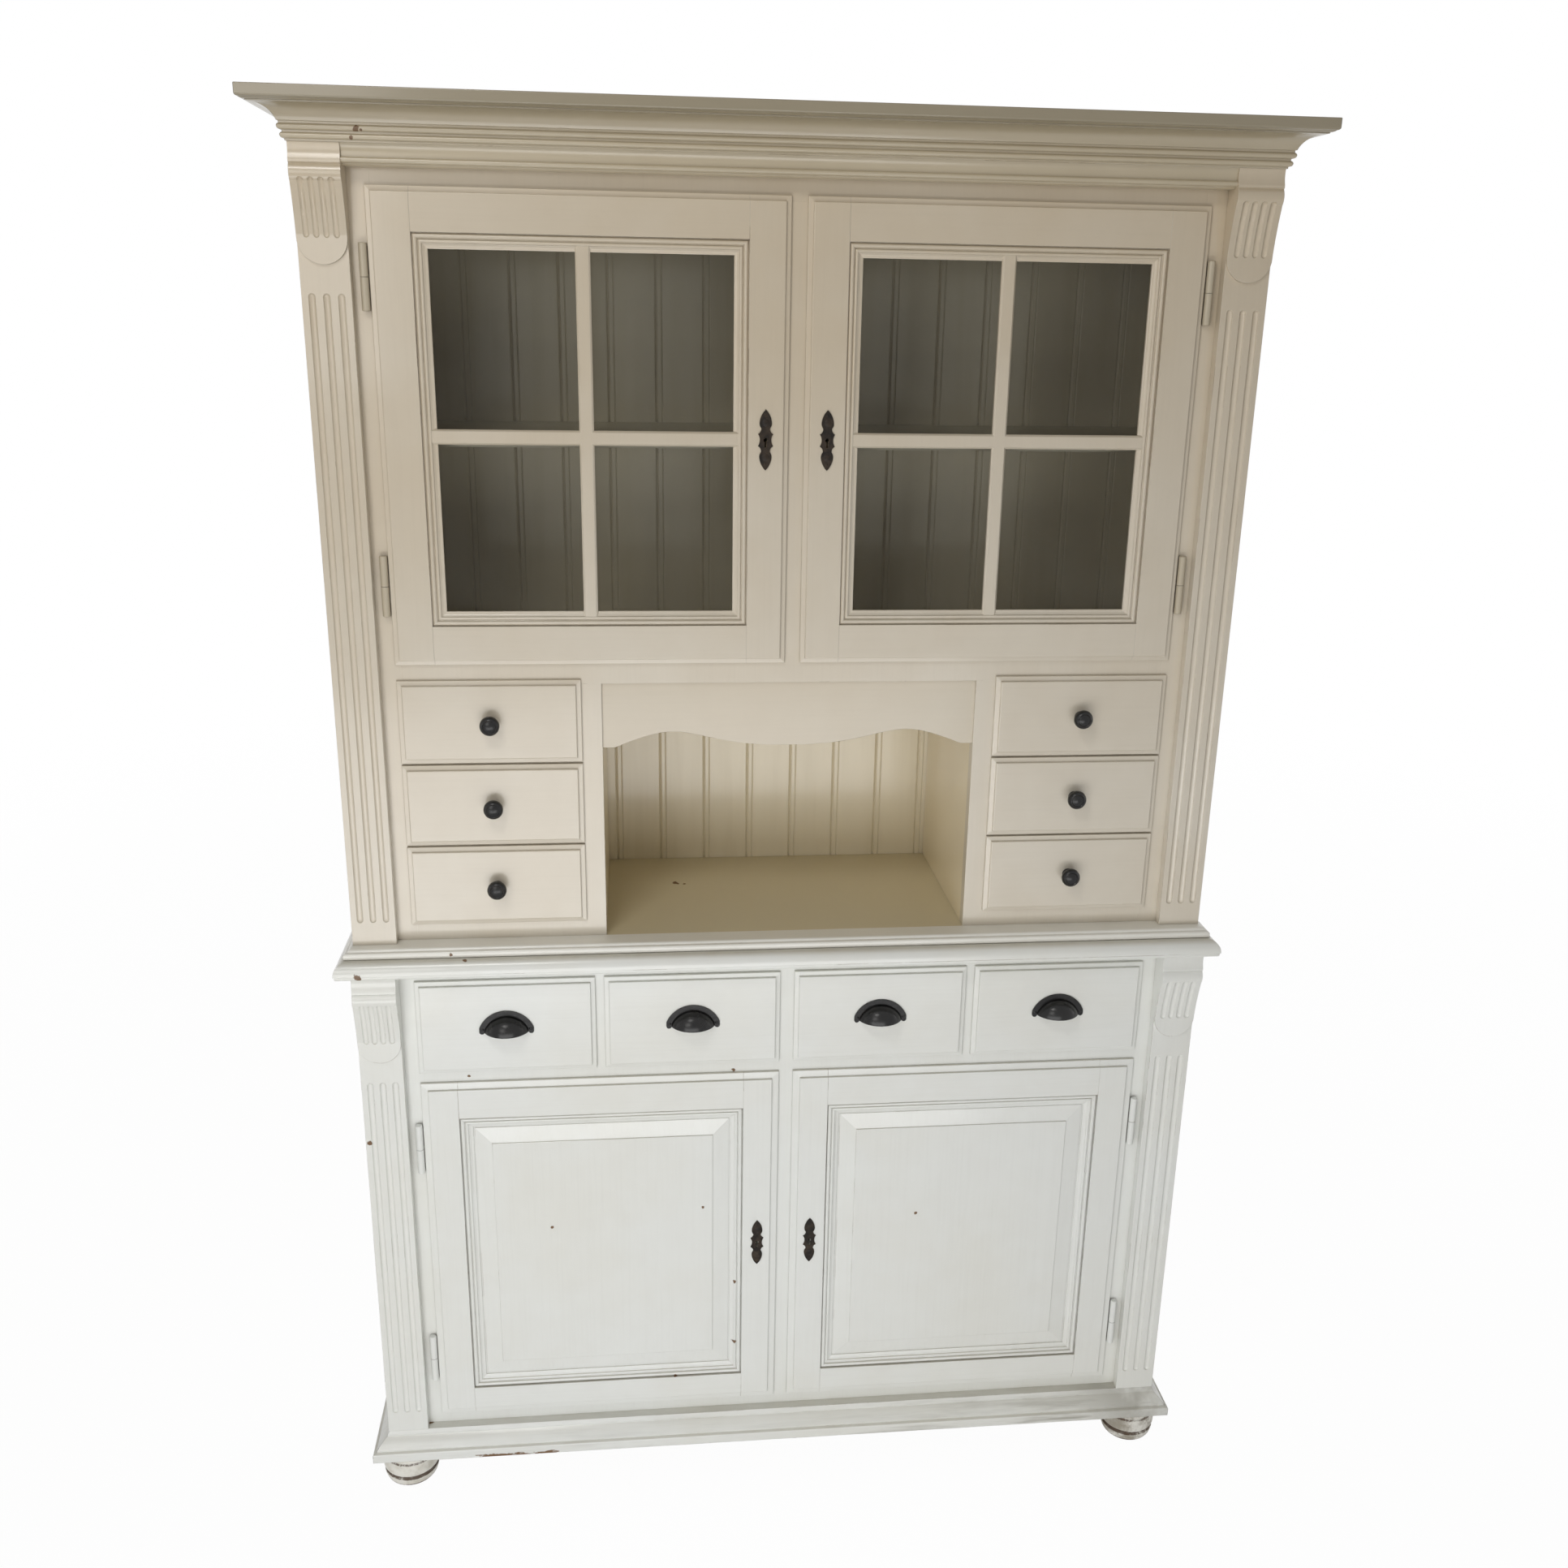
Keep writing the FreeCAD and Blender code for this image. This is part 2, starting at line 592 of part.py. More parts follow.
def buffet_face_frame(leaves):
    """Members around the buffet's doors and drawers; the outer stiles are slotted for the hinges."""
    stile = frame_piece(BUFFET_FACE, STILE_EDGE, HALF, PLINTH_TOP, BUFFET_TOP)
    for leaf in leaves:
        stile = stile.cut(leaf)
    door_top = LOWER_DOOR_TOP - LIP_OVERLAP
    drawer_top = BUFFET_DRAWER_TOP - LIP_OVERLAP
    divider_low = BUFFET_DRAWER_XS[0] + BUFFET_DRAWER_WIDTH - LIP_OVERLAP
    divider_high = BUFFET_DRAWER_XS[1] + LIP_OVERLAP
    members = both_sides([stile])
    for z0, z1 in ((PLINTH_TOP, BUFFET_FLOOR), (door_top, BUFFET_DECK), (drawer_top, BUFFET_TOP)):
        members.append(frame_piece(BUFFET_FACE, -STILE_EDGE, STILE_EDGE, z0, z1))
    for z0, z1 in ((BUFFET_FLOOR, door_top), (BUFFET_DECK, drawer_top)):
        members.append(frame_piece(BUFFET_FACE, -CENTRE_EDGE, CENTRE_EDGE, z0, z1))
    members += both_sides([frame_piece(BUFFET_FACE, divider_low, divider_high, BUFFET_DECK, drawer_top)])
    return members


def hutch_face_frame(leaves):
    """Members around the hutch's doors, drawers and niche."""
    stile = frame_piece(HUTCH_FACE, STILE_EDGE, HALF, HUTCH_BOTTOM, HUTCH_TOP)
    for leaf in leaves:
        stile = stile.cut(leaf)
    post = frame_piece(HUTCH_FACE, NICHE_HALF, POST_OUTER, HUTCH_BOTTOM, MIDDLE_RAIL_BOTTOM)
    members = both_sides([stile, post])
    rails = [(HUTCH_BOTTOM, HUTCH_DRAWER_ZS[0] + LIP_OVERLAP)]
    for z in HUTCH_DRAWER_ZS[1:]:
        rails.append((z - DRAWER_STACK_GAP - LIP_OVERLAP, z + LIP_OVERLAP))
    for z0, z1 in rails:
        members += both_sides([frame_piece(HUTCH_FACE, POST_OUTER, STILE_EDGE, z0, z1)])
    door_top = UPPER_DOOR_TOP - LIP_OVERLAP
    for z0, z1 in ((MIDDLE_RAIL_BOTTOM, HUTCH_DECK), (door_top, HUTCH_TOP)):
        members.append(frame_piece(HUTCH_FACE, -STILE_EDGE, STILE_EDGE, z0, z1))
    members.append(frame_piece(HUTCH_FACE, -CENTRE_EDGE, CENTRE_EDGE, HUTCH_DECK, door_top))
    return members


# Scalloped board across the top of the niche
def valance():
    """Board with two crests and a low middle."""
    bottom = MIDDLE_RAIL_BOTTOM - VALANCE_DROP
    front = HUTCH_FACE + VALANCE_SETBACK
    flat = NICHE_HALF - VALANCE_FLAT
    crest = NICHE_HALF - VALANCE_CREST
    half_wave = [
        (flat, 0.0),
        ((flat + crest) / 2, 0.66 * VALANCE_RISE),
        (crest, VALANCE_RISE),
        (crest * 0.72, 0.68 * VALANCE_RISE),
        (crest * 0.42, 0.22 * VALANCE_RISE),
        (0.0, 0.04 * VALANCE_RISE),
    ]
    wave = half_wave + [(-x, rise) for x, rise in reversed(half_wave[:-1])]
    curve = Part.BSplineCurve()
    curve.interpolate([Vector(x, front, bottom + rise) for x, rise in wave])
    corners = [
        Vector(-flat, front, bottom),
        Vector(-NICHE_HALF, front, bottom),
        Vector(-NICHE_HALF, front, MIDDLE_RAIL_BOTTOM),
        Vector(NICHE_HALF, front, MIDDLE_RAIL_BOTTOM),
        Vector(NICHE_HALF, front, bottom),
        Vector(flat, front, bottom),
    ]
    edges = [curve.toShape()]
    for start, end in zip(corners, corners[1:]):
        edges.append(Part.makeLine(start, end))
    return face_of(edges).extrude(Vector(0, VALANCE_THICKNESS, 0))


# Level mouldings: buffet top, hutch base, cornice and the bed moulding under it
def buffet_top():
    """Top board with a quarter-round edge over a rounded lip on three sides."""
    reach = TOP_PROJECTION
    profile = [
        (5.0 - reach, BUFFET_TOP),
        (1.5 - reach, BUFFET_TOP + 4.0, 2.3 - reach, BUFFET_TOP + 1.4),
        (1.5 - reach, BUFFET_TOP + 5.5),
        (-reach, BUFFET_TOP + 6.5),
        (-reach, BUFFET_TOP + 9.0),
        (11.0 - reach, BASE_BOTTOM, 3.0 - reach, BASE_BOTTOM - 6.6),
    ]
    return moulded_board(PLINTH_FACE, profile)


def hutch_base():
    """Bottom board of the hutch, moulded on three sides; its top is the floor of the niche."""
    reach = HUTCH_BASE_PROJECTION
    profile = [
        (1.0 - reach, BASE_BOTTOM),
        (-reach, BASE_BOTTOM + 1.0),
        (-reach, BASE_BOTTOM + 6.0),
        (4.0 - reach, HUTCH_BOTTOM - 4.0, 1.0 - reach, HUTCH_BOTTOM - 5.2),
        (5.5 - reach, HUTCH_BOTTOM - 3.6),
        (-1.0, HUTCH_BOTTOM, 7.2 - reach, HUTCH_BOTTOM - 1.2),
    ]
    return moulded_board(HUTCH_FACE - PILASTER_PROUD - HUTCH_BASE_STEP, profile)


def cornice():
    """Three mitred lengths of crown moulding."""
    reach = CORNICE_PROJECTION
    bottom = HUTCH_TOP
    front = HUTCH_FACE - CORNICE_OFFSET
    profile = [
        (-2.0, bottom),
        (-2.0, bottom + 2.5),
        (-4.0, bottom + 9.5, -6.5, bottom + 5.2),
        (-4.0, bottom + 12.5),
        (-7.0, bottom + 19.5, -9.2, bottom + 15.0),
        (-7.0, bottom + 22.0),
        (-9.0, bottom + 22.5),
        (13.0 - reach, bottom + 40.0, -17.5, bottom + 34.5),
        (10.0 - reach, bottom + 40.5),
        (10.0 - reach, bottom + 42.0),
        (3.5 - reach, bottom + 44.0, 5.6 - reach, bottom + 42.6),
        (-reach, bottom + 47.0, 0.9 - reach, bottom + 44.9),
        (-reach, CORNICE_TOP - 1.5),
        (1.5 - reach, CORNICE_TOP, 0.4 - reach, CORNICE_TOP - 0.4),
    ]
    inner_x = HALF - CORNICE_SEAT
    block = moulded_board(front, profile)
    block = block.cut(box(-inner_x, inner_x, front + CORNICE_SEAT, BACK + 1, bottom - 1, CORNICE_TOP + 1))
    return mitred_front(block, front, CORNICE_SEAT)


def bed_moulding():
    """Moulding between the corbels, from the cornice down to a bead on the frame."""
    top = HUTCH_TOP
    low = top - BED_HEIGHT
    profile = [
        (0.0, top),
        (BED_PROJECTION, top),
        (BED_PROJECTION - 4.0, top - 15.0, BED_PROJECTION - 3.6, top - 7.0),
        (BED_PROJECTION - 4.0, top - 16.5),
        (BED_PROJECTION - 5.0, top - 23.0, BED_PROJECTION + 0.5, top - 19.8),
        (BED_PROJECTION - 8.0, top - 23.5),
        (BED_PROJECTION - 14.0, low, BED_PROJECTION - 9.5, low + 0.8),
        (0.0, low),
        (0.0, top),
    ]
    edges = chain(lambda d, z: Vector(-PILASTER_INNER, HUTCH_FACE - d, z), profile)
    return face_of(edges).extrude(Vector(2 * PILASTER_INNER, 0, 0))


# Hinges: two to a door, all drawn on the right-hand side
def hinge_levels(z0, height):
    """Levels of the joint between the two knuckles of each hinge of a door."""
    inset = HINGE_INSET + KNUCKLE_LENGTH
    return (z0 + inset, z0 + height - inset)


def leaf_span(level, upper):
    """Lowest and highest point of the leaf beside one knuckle."""
    if upper:
        return level + LEAF_MARGIN, level + KNUCKLE_LENGTH - LEAF_MARGIN
    return level - KNUCKLE_LENGTH + LEAF_MARGIN, level - LEAF_MARGIN


def frame_leaf(face, level):
    """Leaf driven straight back into the frame beside the lower knuckle."""
    low, high = leaf_span(level, False)
    x1 = HINGE_X + KNUCKLE_RADIUS - 0.9
    depth = FRAME_THICKNESS - LEAF_MARGIN
    return box(x1 - LEAF_THICKNESS, x1, face - HINGE_LEVEL, face + depth, low, high)


def door_leaf(face, level):
    """Leaf let into the edge of the door's lip beside the upper knuckle."""
    low, high = leaf_span(level, True)
    return box(
        FRONT_OUTER - LEAF_DEPTH, HINGE_X, face - LEAF_LEVEL, face - LEAF_LEVEL - LEAF_THICKNESS, low, high)


def frame_half(face, level):
    """Lower knuckle with the pin and its leaf."""
    radius = KNUCKLE_RADIUS
    bottom = level - KNUCKLE_LENGTH
    top = level - KNUCKLE_GAP / 2
    profile = [
        (0.0, bottom),
        (radius - KNUCKLE_ROUND, bottom),
        (radius, bottom + KNUCKLE_ROUND, radius - 0.3 * KNUCKLE_ROUND, bottom + 0.3 * KNUCKLE_ROUND),
        (radius, top),
        (PIN_RADIUS, top),
        (PIN_RADIUS, top + PIN_LENGTH),
        (0.0, top + PIN_LENGTH),
    ]
    knuckle = turned_upright(HINGE_X, face - HINGE_LEVEL, profile)
    return knuckle.fuse(frame_leaf(face, level))


def door_half(face, level):
    """Upper knuckle, bored for the pin, with its leaf."""
    radius = KNUCKLE_RADIUS
    bottom = level + KNUCKLE_GAP / 2
    top = level + KNUCKLE_LENGTH
    bore = PIN_RADIUS + PIN_CLEARANCE
    bore_top = bottom + PIN_LENGTH + PIN_END_ROOM
    profile = [
        (bore, bottom),
        (radius, bottom),
        (radius, top - KNUCKLE_ROUND),
        (radius - KNUCKLE_ROUND, top, radius - 0.3 * KNUCKLE_ROUND, top - 0.3 * KNUCKLE_ROUND),
        (0.0, top),
        (0.0, bore_top),
        (bore, bore_top),
        (bore, bottom),
    ]
    knuckle = turned_upright(HINGE_X, face - HINGE_LEVEL, profile)
    return knuckle.fuse(door_leaf(face, level))


# Locks, drawn on the right-hand door beside the centre stile
LOCK_X = FRONT_INNER + REBATE + LOCK_EDGE
KEY_X = FRONT_INNER + ESCUTCHEON_INSET
DOOR_BACK_LEVEL = FRONT_PROUD - DOOR_THICKNESS
BOLT_FRONT_LEVEL = -FRAME_THICKNESS - BOLT_STILE_GAP
BOLT_BACK_LEVEL = BOLT_FRONT_LEVEL - BOLT_THICKNESS


def keyhole(face, z):
    """Round and slotted hole from the escutcheon to the bolt."""
    front = FRONT_PROUD + ESCUTCHEON_THICKNESS + 1.0
    depth = front - BOLT_FRONT_LEVEL
    hole = Part.makeCylinder(KEYHOLE_RADIUS, depth, Vector(KEY_X, face - front, z), Vector(0, 1, 0))
    slot = box(
        KEY_X - KEYHOLE_SLOT / 2, KEY_X + KEYHOLE_SLOT / 2,
        face - front, face - front + depth, z - KEYHOLE_DROP, z)
    return hole.fuse(slot)


def escutcheon(face, z):
    """Keyhole plate with a pointed lobe at each end, a boss on each lobe and a nail beyond it."""
    half = ESCUTCHEON_HEIGHT / 2
    wide = ESCUTCHEON_WIDTH / 2
    outline = [
        (0.0, half),
        (0.81 * wide, 0.57 * half, 0.57 * wide, 0.80 * half),
        (0.58 * wide, 0.39 * half, 0.76 * wide, 0.47 * half),
        (wide, 0.20 * half, 0.69 * wide, 0.27 * half),
        (wide, -0.20 * half, 0.75 * wide, 0.0),
        (0.58 * wide, -0.39 * half, 0.69 * wide, -0.27 * half),
        (0.81 * wide, -0.57 * half, 0.76 * wide, -0.47 * half),
        (0.0, -half, 0.57 * wide, -0.80 * half),
    ]
    front = face - FRONT_PROUD
    edges = chain(lambda s, t: Vector(KEY_X + s, front, z + t), outline)
    edges += chain(lambda s, t: Vector(KEY_X - s, front, z + t), outline)
    plate = face_of(edges).extrude(Vector(0, -ESCUTCHEON_THICKNESS, 0))
    level = FRONT_PROUD + ESCUTCHEON_THICKNESS
    nails = []
    for side in (-1, 1):
        root = level - ESCUTCHEON_THICKNESS / 2
        boss = [
            (0.0, root),
            (BOSS_RADIUS, root),
            (BOSS_RADIUS, level),
            dome(BOSS_RADIUS, level, BOSS_RISE),
        ]
        plate = plate.fuse(turned_forward(KEY_X, face, z + side * 0.57 * half, boss))
        head = [
            (0.0, level),
            (NAIL_RADIUS, level),
            dome(NAIL_RADIUS, level, 0.9),
        ]
        nails.append(turned_forward(KEY_X, face, z + side * (half - NAIL_INSET), head))
    return [plate.cut(keyhole(face, z))] + nails


def lock_case(face, z):
    """Iron case screwed to the back of the door, with a channel for the bolt."""
    back_level = BOLT_BACK_LEVEL - BOLT_CLEARANCE - LOCK_WALL
    case = box(
        LOCK_X, LOCK_X + LOCK_WIDTH, face - DOOR_BACK_LEVEL, face - back_level,
        z - LOCK_HEIGHT / 2, z + LOCK_HEIGHT / 2)
    half = BOLT_HEIGHT / 2 + BOLT_CLEARANCE
    channel = box(
        LOCK_X - 1.0, LOCK_X + BOLT_LENGTH + BOLT_CLEARANCE,
        face - BOLT_FRONT_LEVEL - BOLT_CLEARANCE, face - BOLT_BACK_LEVEL + BOLT_CLEARANCE, z - half, z + half)
    return case.cut(channel).cut(keyhole(face, z))


def lock_bolt(face, z):
    """Sliding bolt, drawn back, notched for the key."""
    half = BOLT_HEIGHT / 2
    bolt = box(
        LOCK_X, LOCK_X + BOLT_LENGTH, face - BOLT_FRONT_LEVEL, face - BOLT_BACK_LEVEL, z - half, z + half)
    notch = box(KEY_X - half, KEY_X + half, face, face + 2 * FRAME_THICKNESS, z - half - 1.0, z - half + 5.0)
    return bolt.cut(notch)


# Doors, drawn on the right-hand side
def front_edge(back_level, edge):
    """Profile of a lipped front: rebate, lip, moulded band of a given width and raised field."""
    step = FRONT_PROUD - 1.5
    return [
        (REBATE, back_level),
        (REBATE, SEAT_GAP),
        (0.0, SEAT_GAP),
        (0.0, LIP_BAND - 1.0),
        (1.0, LIP_BAND, 0.3, LIP_BAND - 0.3),
        (edge, LIP_BAND + 0.8),
        (edge, step),
        (edge + 1.5, FRONT_PROUD, edge + 0.44, FRONT_PROUD - 0.44),
    ]


def door_hole(z0, height, bottom_rail, top_rail):
    """Rectangle inside the stiles and rails of a door."""
    return FRONT_INNER + DOOR_STILE, FRONT_OUTER - DOOR_STILE, z0 + bottom_rail, z0 + height - top_rail


def door_frame(face, z0, height, hole, edge, cutters):
    """Two stiles and two rails of a lipped door."""
    z1 = z0 + height
    slab = moulded_panel(FRONT_INNER, FRONT_OUTER, z0, z1, face, front_edge(DOOR_BACK_LEVEL, edge))
    x0, x1, low, high = hole
    deep = 2 * DOOR_THICKNESS
    slab = slab.cut(box(x0, x1, face - deep, face + deep, low, high))
    for cutter in cutters:
        slab = slab.cut(cutter)
    pieces = []
    for left, right, bottom, top in (
            (FRONT_INNER - 1, x0, z0 - 1, z1 + 1), (x1, FRONT_OUTER + 1, z0 - 1, z1 + 1),
            (x0, x1, z0 - 1, low), (x0, x1, high, z1 + 1)):
        pieces.append(slab.common(box(left, right, face - deep, face + deep, bottom, top)))
    return pieces


def door_moulding(face, hole, back_level):
    """Moulding inside a door's frame: a quirk, a large bead, a small bead and a cove, in four lengths."""
    width = MOULDING_WIDTH
    crest = FRONT_PROUD - MOULDING_DROP
    profile = [
        (0.0, back_level),
        (0.0, crest - 3.2),
        (1.3, crest - 3.2),
        (7.4, crest - 3.4, 4.3, crest),
        (8.4, crest - 3.9),
        (13.2, crest - 4.8, 10.8, crest - 2.2),
        (14.2, crest - 5.2),
        (width - 1.4, 1.6, 15.6, 2.3),
        (width, 1.0),
        (width, back_level),
        (0.0, back_level),
    ]
    return mitred_lengths(profile, hole, face)


def glazing_bar(face, z0, z1, x0, x1, upright):
    """Flat bar before the glass, bevelled along its two front edges."""
    back = -GLASS_SETBACK
    profile = [
        (0.0, back),
        (0.0, BAR_PROUD - BAR_BEVEL),
        (BAR_BEVEL, BAR_PROUD),
    ]
    if upright:
        flat = section(lambda s, d: Vector(s, face - d, z0), profile, x0, x1)
        return flat.extrude(Vector(0, 0, z1 - z0))
    flat = section(lambda s, d: Vector(x0, face - d, s), profile, z0, z1)
    return flat.extrude(Vector(x1 - x0, 0, 0))


def door_glazing(face, hole):
    """Mitred moulding, crossed bars and the beads that hold the glass from behind."""
    x0, x1, low, high = hole
    pieces = door_moulding(face, hole, -GLASS_SETBACK)
    lap = MOULDING_WIDTH / 2
    half = BAR_WIDTH / 2
    mid_x = (x0 + x1) / 2
    mid_z = (low + high) / 2
    upright = glazing_bar(face, low + lap, high - lap, mid_x - half, mid_x + half, True)
    level = glazing_bar(face, mid_z - half, mid_z + half, x0 + lap, x1 - lap, False)
    level = level.cut(upright)
    for length in list(pieces):
        upright = upright.cut(length)
        level = level.cut(length)
    pieces += [upright, level]
    front = face + GLASS_SETBACK + GLASS_THICKNESS
    back = face - DOOR_BACK_LEVEL
    for left, right in ((x0, x0 + GLASS_BEAD), (x1 - GLASS_BEAD, x1)):
        pieces.append(box(left, right, front, back, low, high))
    for bottom, top in ((low, low + GLASS_BEAD), (high - GLASS_BEAD, high)):
        pieces.append(box(x0 + GLASS_BEAD, x1 - GLASS_BEAD, front, back, bottom, top))
    return pieces


def door_glass(face, hole):
    """One pane behind the bars."""
    x0, x1, low, high = hole
    gap = GLASS_EDGE_GAP
    front = face + GLASS_SETBACK
    return box(x0 + gap, x1 - gap, front, front + GLASS_THICKNESS, low + gap, high - gap)


def door_panel(face, hole):
    """Raised and fielded panel, tongued into the frame."""
    x0, x1, low, high = hole
    margin = PANEL_TONGUE + MOULDING_WIDTH + 2.0
    profile = [
        (0.0, -PANEL_THICKNESS),
        (0.0, 0.0),
        (margin, 0.0),
        (margin, 0.6),
        (margin + PANEL_BEVEL, PANEL_RAISE - 2.0),
        (margin + PANEL_BEVEL, PANEL_RAISE - 0.6),
        (margin + PANEL_BEVEL + 0.6, PANEL_RAISE),
    ]
    out = PANEL_TONGUE
    return moulded_panel(x0 - out, x1 + out, low - out, high + out, face, profile)


# Drawers
def drawer_box(face, x0, z0, width, height, pull_hole):
    """Lipped front, two grooved sides, a back and a bottom."""
    x1 = x0 + width
    z1 = z0 + height
    core = DRAWER_FRONT_THICKNESS - FRONT_PROUD
    front = moulded_panel(x0, x1, z0, z1, face, front_edge(-core, FRONT_EDGE))
    y0 = face + core
    y1 = BACK_FRONT - DRAWER_BACK_ROOM
    low = z0 + LIP_OVERLAP + SEAT_GAP
    high = z1 - LIP_OVERLAP - DRAWER_HEADROOM
    outer0 = x0 + REBATE
    outer1 = x1 - REBATE
    inner0 = outer0 + DRAWER_SIDE
    inner1 = outer1 - DRAWER_SIDE
    floor = low + DRAWER_BOTTOM_LIFT
    groove = DRAWER_GROOVE
    bottom = box(inner0 - groove, inner1 + groove, y0 - groove, y1, floor, floor + DRAWER_BOTTOM)
    back = box(inner0, inner1, y1 - DRAWER_SIDE, y1, floor + DRAWER_BOTTOM, high - DRAWER_BACK_DROP)
    sides = [box(outer0, inner0, y0, y1, low, high), box(inner1, outer1, y0, y1, low, high)]
    pieces = [front.cut(bottom).cut(pull_hole)]
    for side in sides:
        pieces.append(side.cut(bottom))
    return pieces + [back, bottom]


def pull_bore(face, x, z):
    """Hole through a drawer front for a knob's spindle."""
    radius = SPINDLE_RADIUS + SPINDLE_CLEARANCE
    return Part.makeCylinder(
        radius, 2 * DRAWER_FRONT_THICKNESS, Vector(x, face - DRAWER_FRONT_THICKNESS, z), Vector(0, 1, 0))


def knob(face, x, z):
    """Turned knob on a narrow neck, with a ring cut in its face, its spindle and nut."""
    front = FRONT_PROUD
    back = FRONT_PROUD - DRAWER_FRONT_THICKNESS
    tip = front + KNOB_REACH
    head = tip - 12.0
    radius = KNOB_RADIUS
    profile = [
        (0.0, back - NUT_THICKNESS - 2.0),
        (SPINDLE_RADIUS, back - NUT_THICKNESS - 2.0),
        (SPINDLE_RADIUS, back - NUT_THICKNESS),
        (NUT_RADIUS, back - NUT_THICKNESS),
        (NUT_RADIUS, back),
        (SPINDLE_RADIUS, back),
        (SPINDLE_RADIUS, front),
        (8.5, front),
        (8.5, front + 2.0),
        (5.5, front + 6.0, 6.3, front + 3.4),
        (radius - 2.5, head - 1.0, 7.0, head - 3.6),
        (radius, head + 3.0, radius - 0.5, head + 0.5),
        (radius - KNOB_RIM, tip - 1.0, radius - 0.9, tip - 4.2),
        (radius - KNOB_RIM - 1.2, tip - 2.2),
        dome(radius - KNOB_RIM - 1.2, tip - 2.2, 2.2),
    ]
    return turned_forward(x, face, z, profile)


def cup_arch(centre, half_width, rise):
    """Upright arched outline of a cup: a short straight end on each side and an arc between them."""
    shoulder = 0.18 * rise
    profile = [
        (-half_width, 0.0),
        (-half_width, shoulder),
        (half_width, shoulder, 0.0, rise),
        (half_width, 0.0),
        (-half_width, 0.0),
    ]
    return face_of(chain(lambda s, t: centre + Vector(s, 0, t), profile))


def cup_pull(face, x, z):
    """Half-dome pull, open below, with a flange that ends in two rounded ears, and a screw at each end."""
    centre = Vector(x, face - FRONT_PROUD, z)
    along = Vector(1, 0, 0)
    hole = cup_arch(centre, CUP_HALF_WIDTH - CUP_WALL, CUP_RADIUS - CUP_WALL)
    shell = cup_arch(centre, CUP_HALF_WIDTH, CUP_RADIUS).cut(hole).Faces[0].revolve(centre, along, 90)
    plate = cup_arch(centre, CUP_HALF_WIDTH + CUP_FLANGE, CUP_RADIUS + CUP_FLANGE)
    flange = plate.cut(hole).Faces[0].extrude(Vector(0, -CUP_WALL, 0))
    cup = shell.fuse(flange)
    for side in (-1, 1):
        ear = centre + Vector(side * (CUP_HALF_WIDTH + CUP_FLANGE / 2), 0, 0)
        cup = cup.fuse(Part.makeCylinder(CUP_FLANGE / 2, CUP_WALL, ear, Vector(0, -1, 0)))
    level = FRONT_PROUD + CUP_WALL
    pieces = [cup]
    for side in (-1, 1):
        profile = [
            (0.0, level),
            (SCREW_RADIUS, level),
            dome(SCREW_RADIUS, level, 1.5),
        ]
        screw_x = x + side * (CUP_HALF_WIDTH + CUP_FLANGE / 2 - 0.4)
        pieces.append(turned_forward(screw_x, face, z + 4.0, profile))
    return pieces


# Drawer runners and guides
def hutch_runners():
    """Runner boards and guide strips for the stack of drawers on the right."""
    y0 = HUTCH_FACE + FRAME_THICKNESS
    side_in = HUTCH_DRAWER_X + REBATE
    side_out = FRONT_OUTER - REBATE
    pieces = []
    for row, z in enumerate(HUTCH_DRAWER_ZS):
        top = z + LIP_OVERLAP
        bottom = HUTCH_BOTTOM if row == 0 else z - DRAWER_STACK_GAP - LIP_OVERLAP
        pieces.append(box(NICHE_WALL, side_in + RUNNER_LAP, y0, BACK_FRONT, bottom, top))
        pieces.append(box(side_out - RUNNER_LAP, INNER, y0, BACK_FRONT, bottom, top))
        pieces.append(box(NICHE_WALL, side_in - GUIDE_GAP, y0, BACK_FRONT, top, top + GUIDE_HEIGHT))
        outer = side_out + GUIDE_GAP
        pieces.append(box(outer, outer + GUIDE_WIDTH, y0, BACK_FRONT, top, top + GUIDE_HEIGHT))
    return pieces


def buffet_runners():
    """Guides on the deck between the drawers, and kickers that keep open drawers from tipping."""
    y0 = BUFFET_FACE + FRAME_THICKNESS
    gap = REBATE - GUIDE_GAP
    first, second = BUFFET_DRAWER_XS
    middle = first + gap
    spans = [
        (first + BUFFET_DRAWER_WIDTH - gap, second + gap),
        (FRONT_OUTER - gap, FRONT_OUTER - gap + GUIDE_WIDTH),
    ]
    kick = BUFFET_DRAWER_TOP - LIP_OVERLAP
    pieces = [box(-middle, middle, y0, BACK_FRONT, BUFFET_DECK, BUFFET_DECK + GUIDE_HEIGHT)]
    pieces.append(box(-middle - RUNNER_LAP, middle + RUNNER_LAP, y0, BACK_FRONT, kick, BUFFET_TOP))
    for left, right in spans:
        pieces += both_sides([box(left, right, y0, BACK_FRONT, BUFFET_DECK, BUFFET_DECK + GUIDE_HEIGHT)])
        pieces += both_sides([box(left - RUNNER_LAP, right + RUNNER_LAP, y0, BACK_FRONT, kick, BUFFET_TOP)])
    return pieces


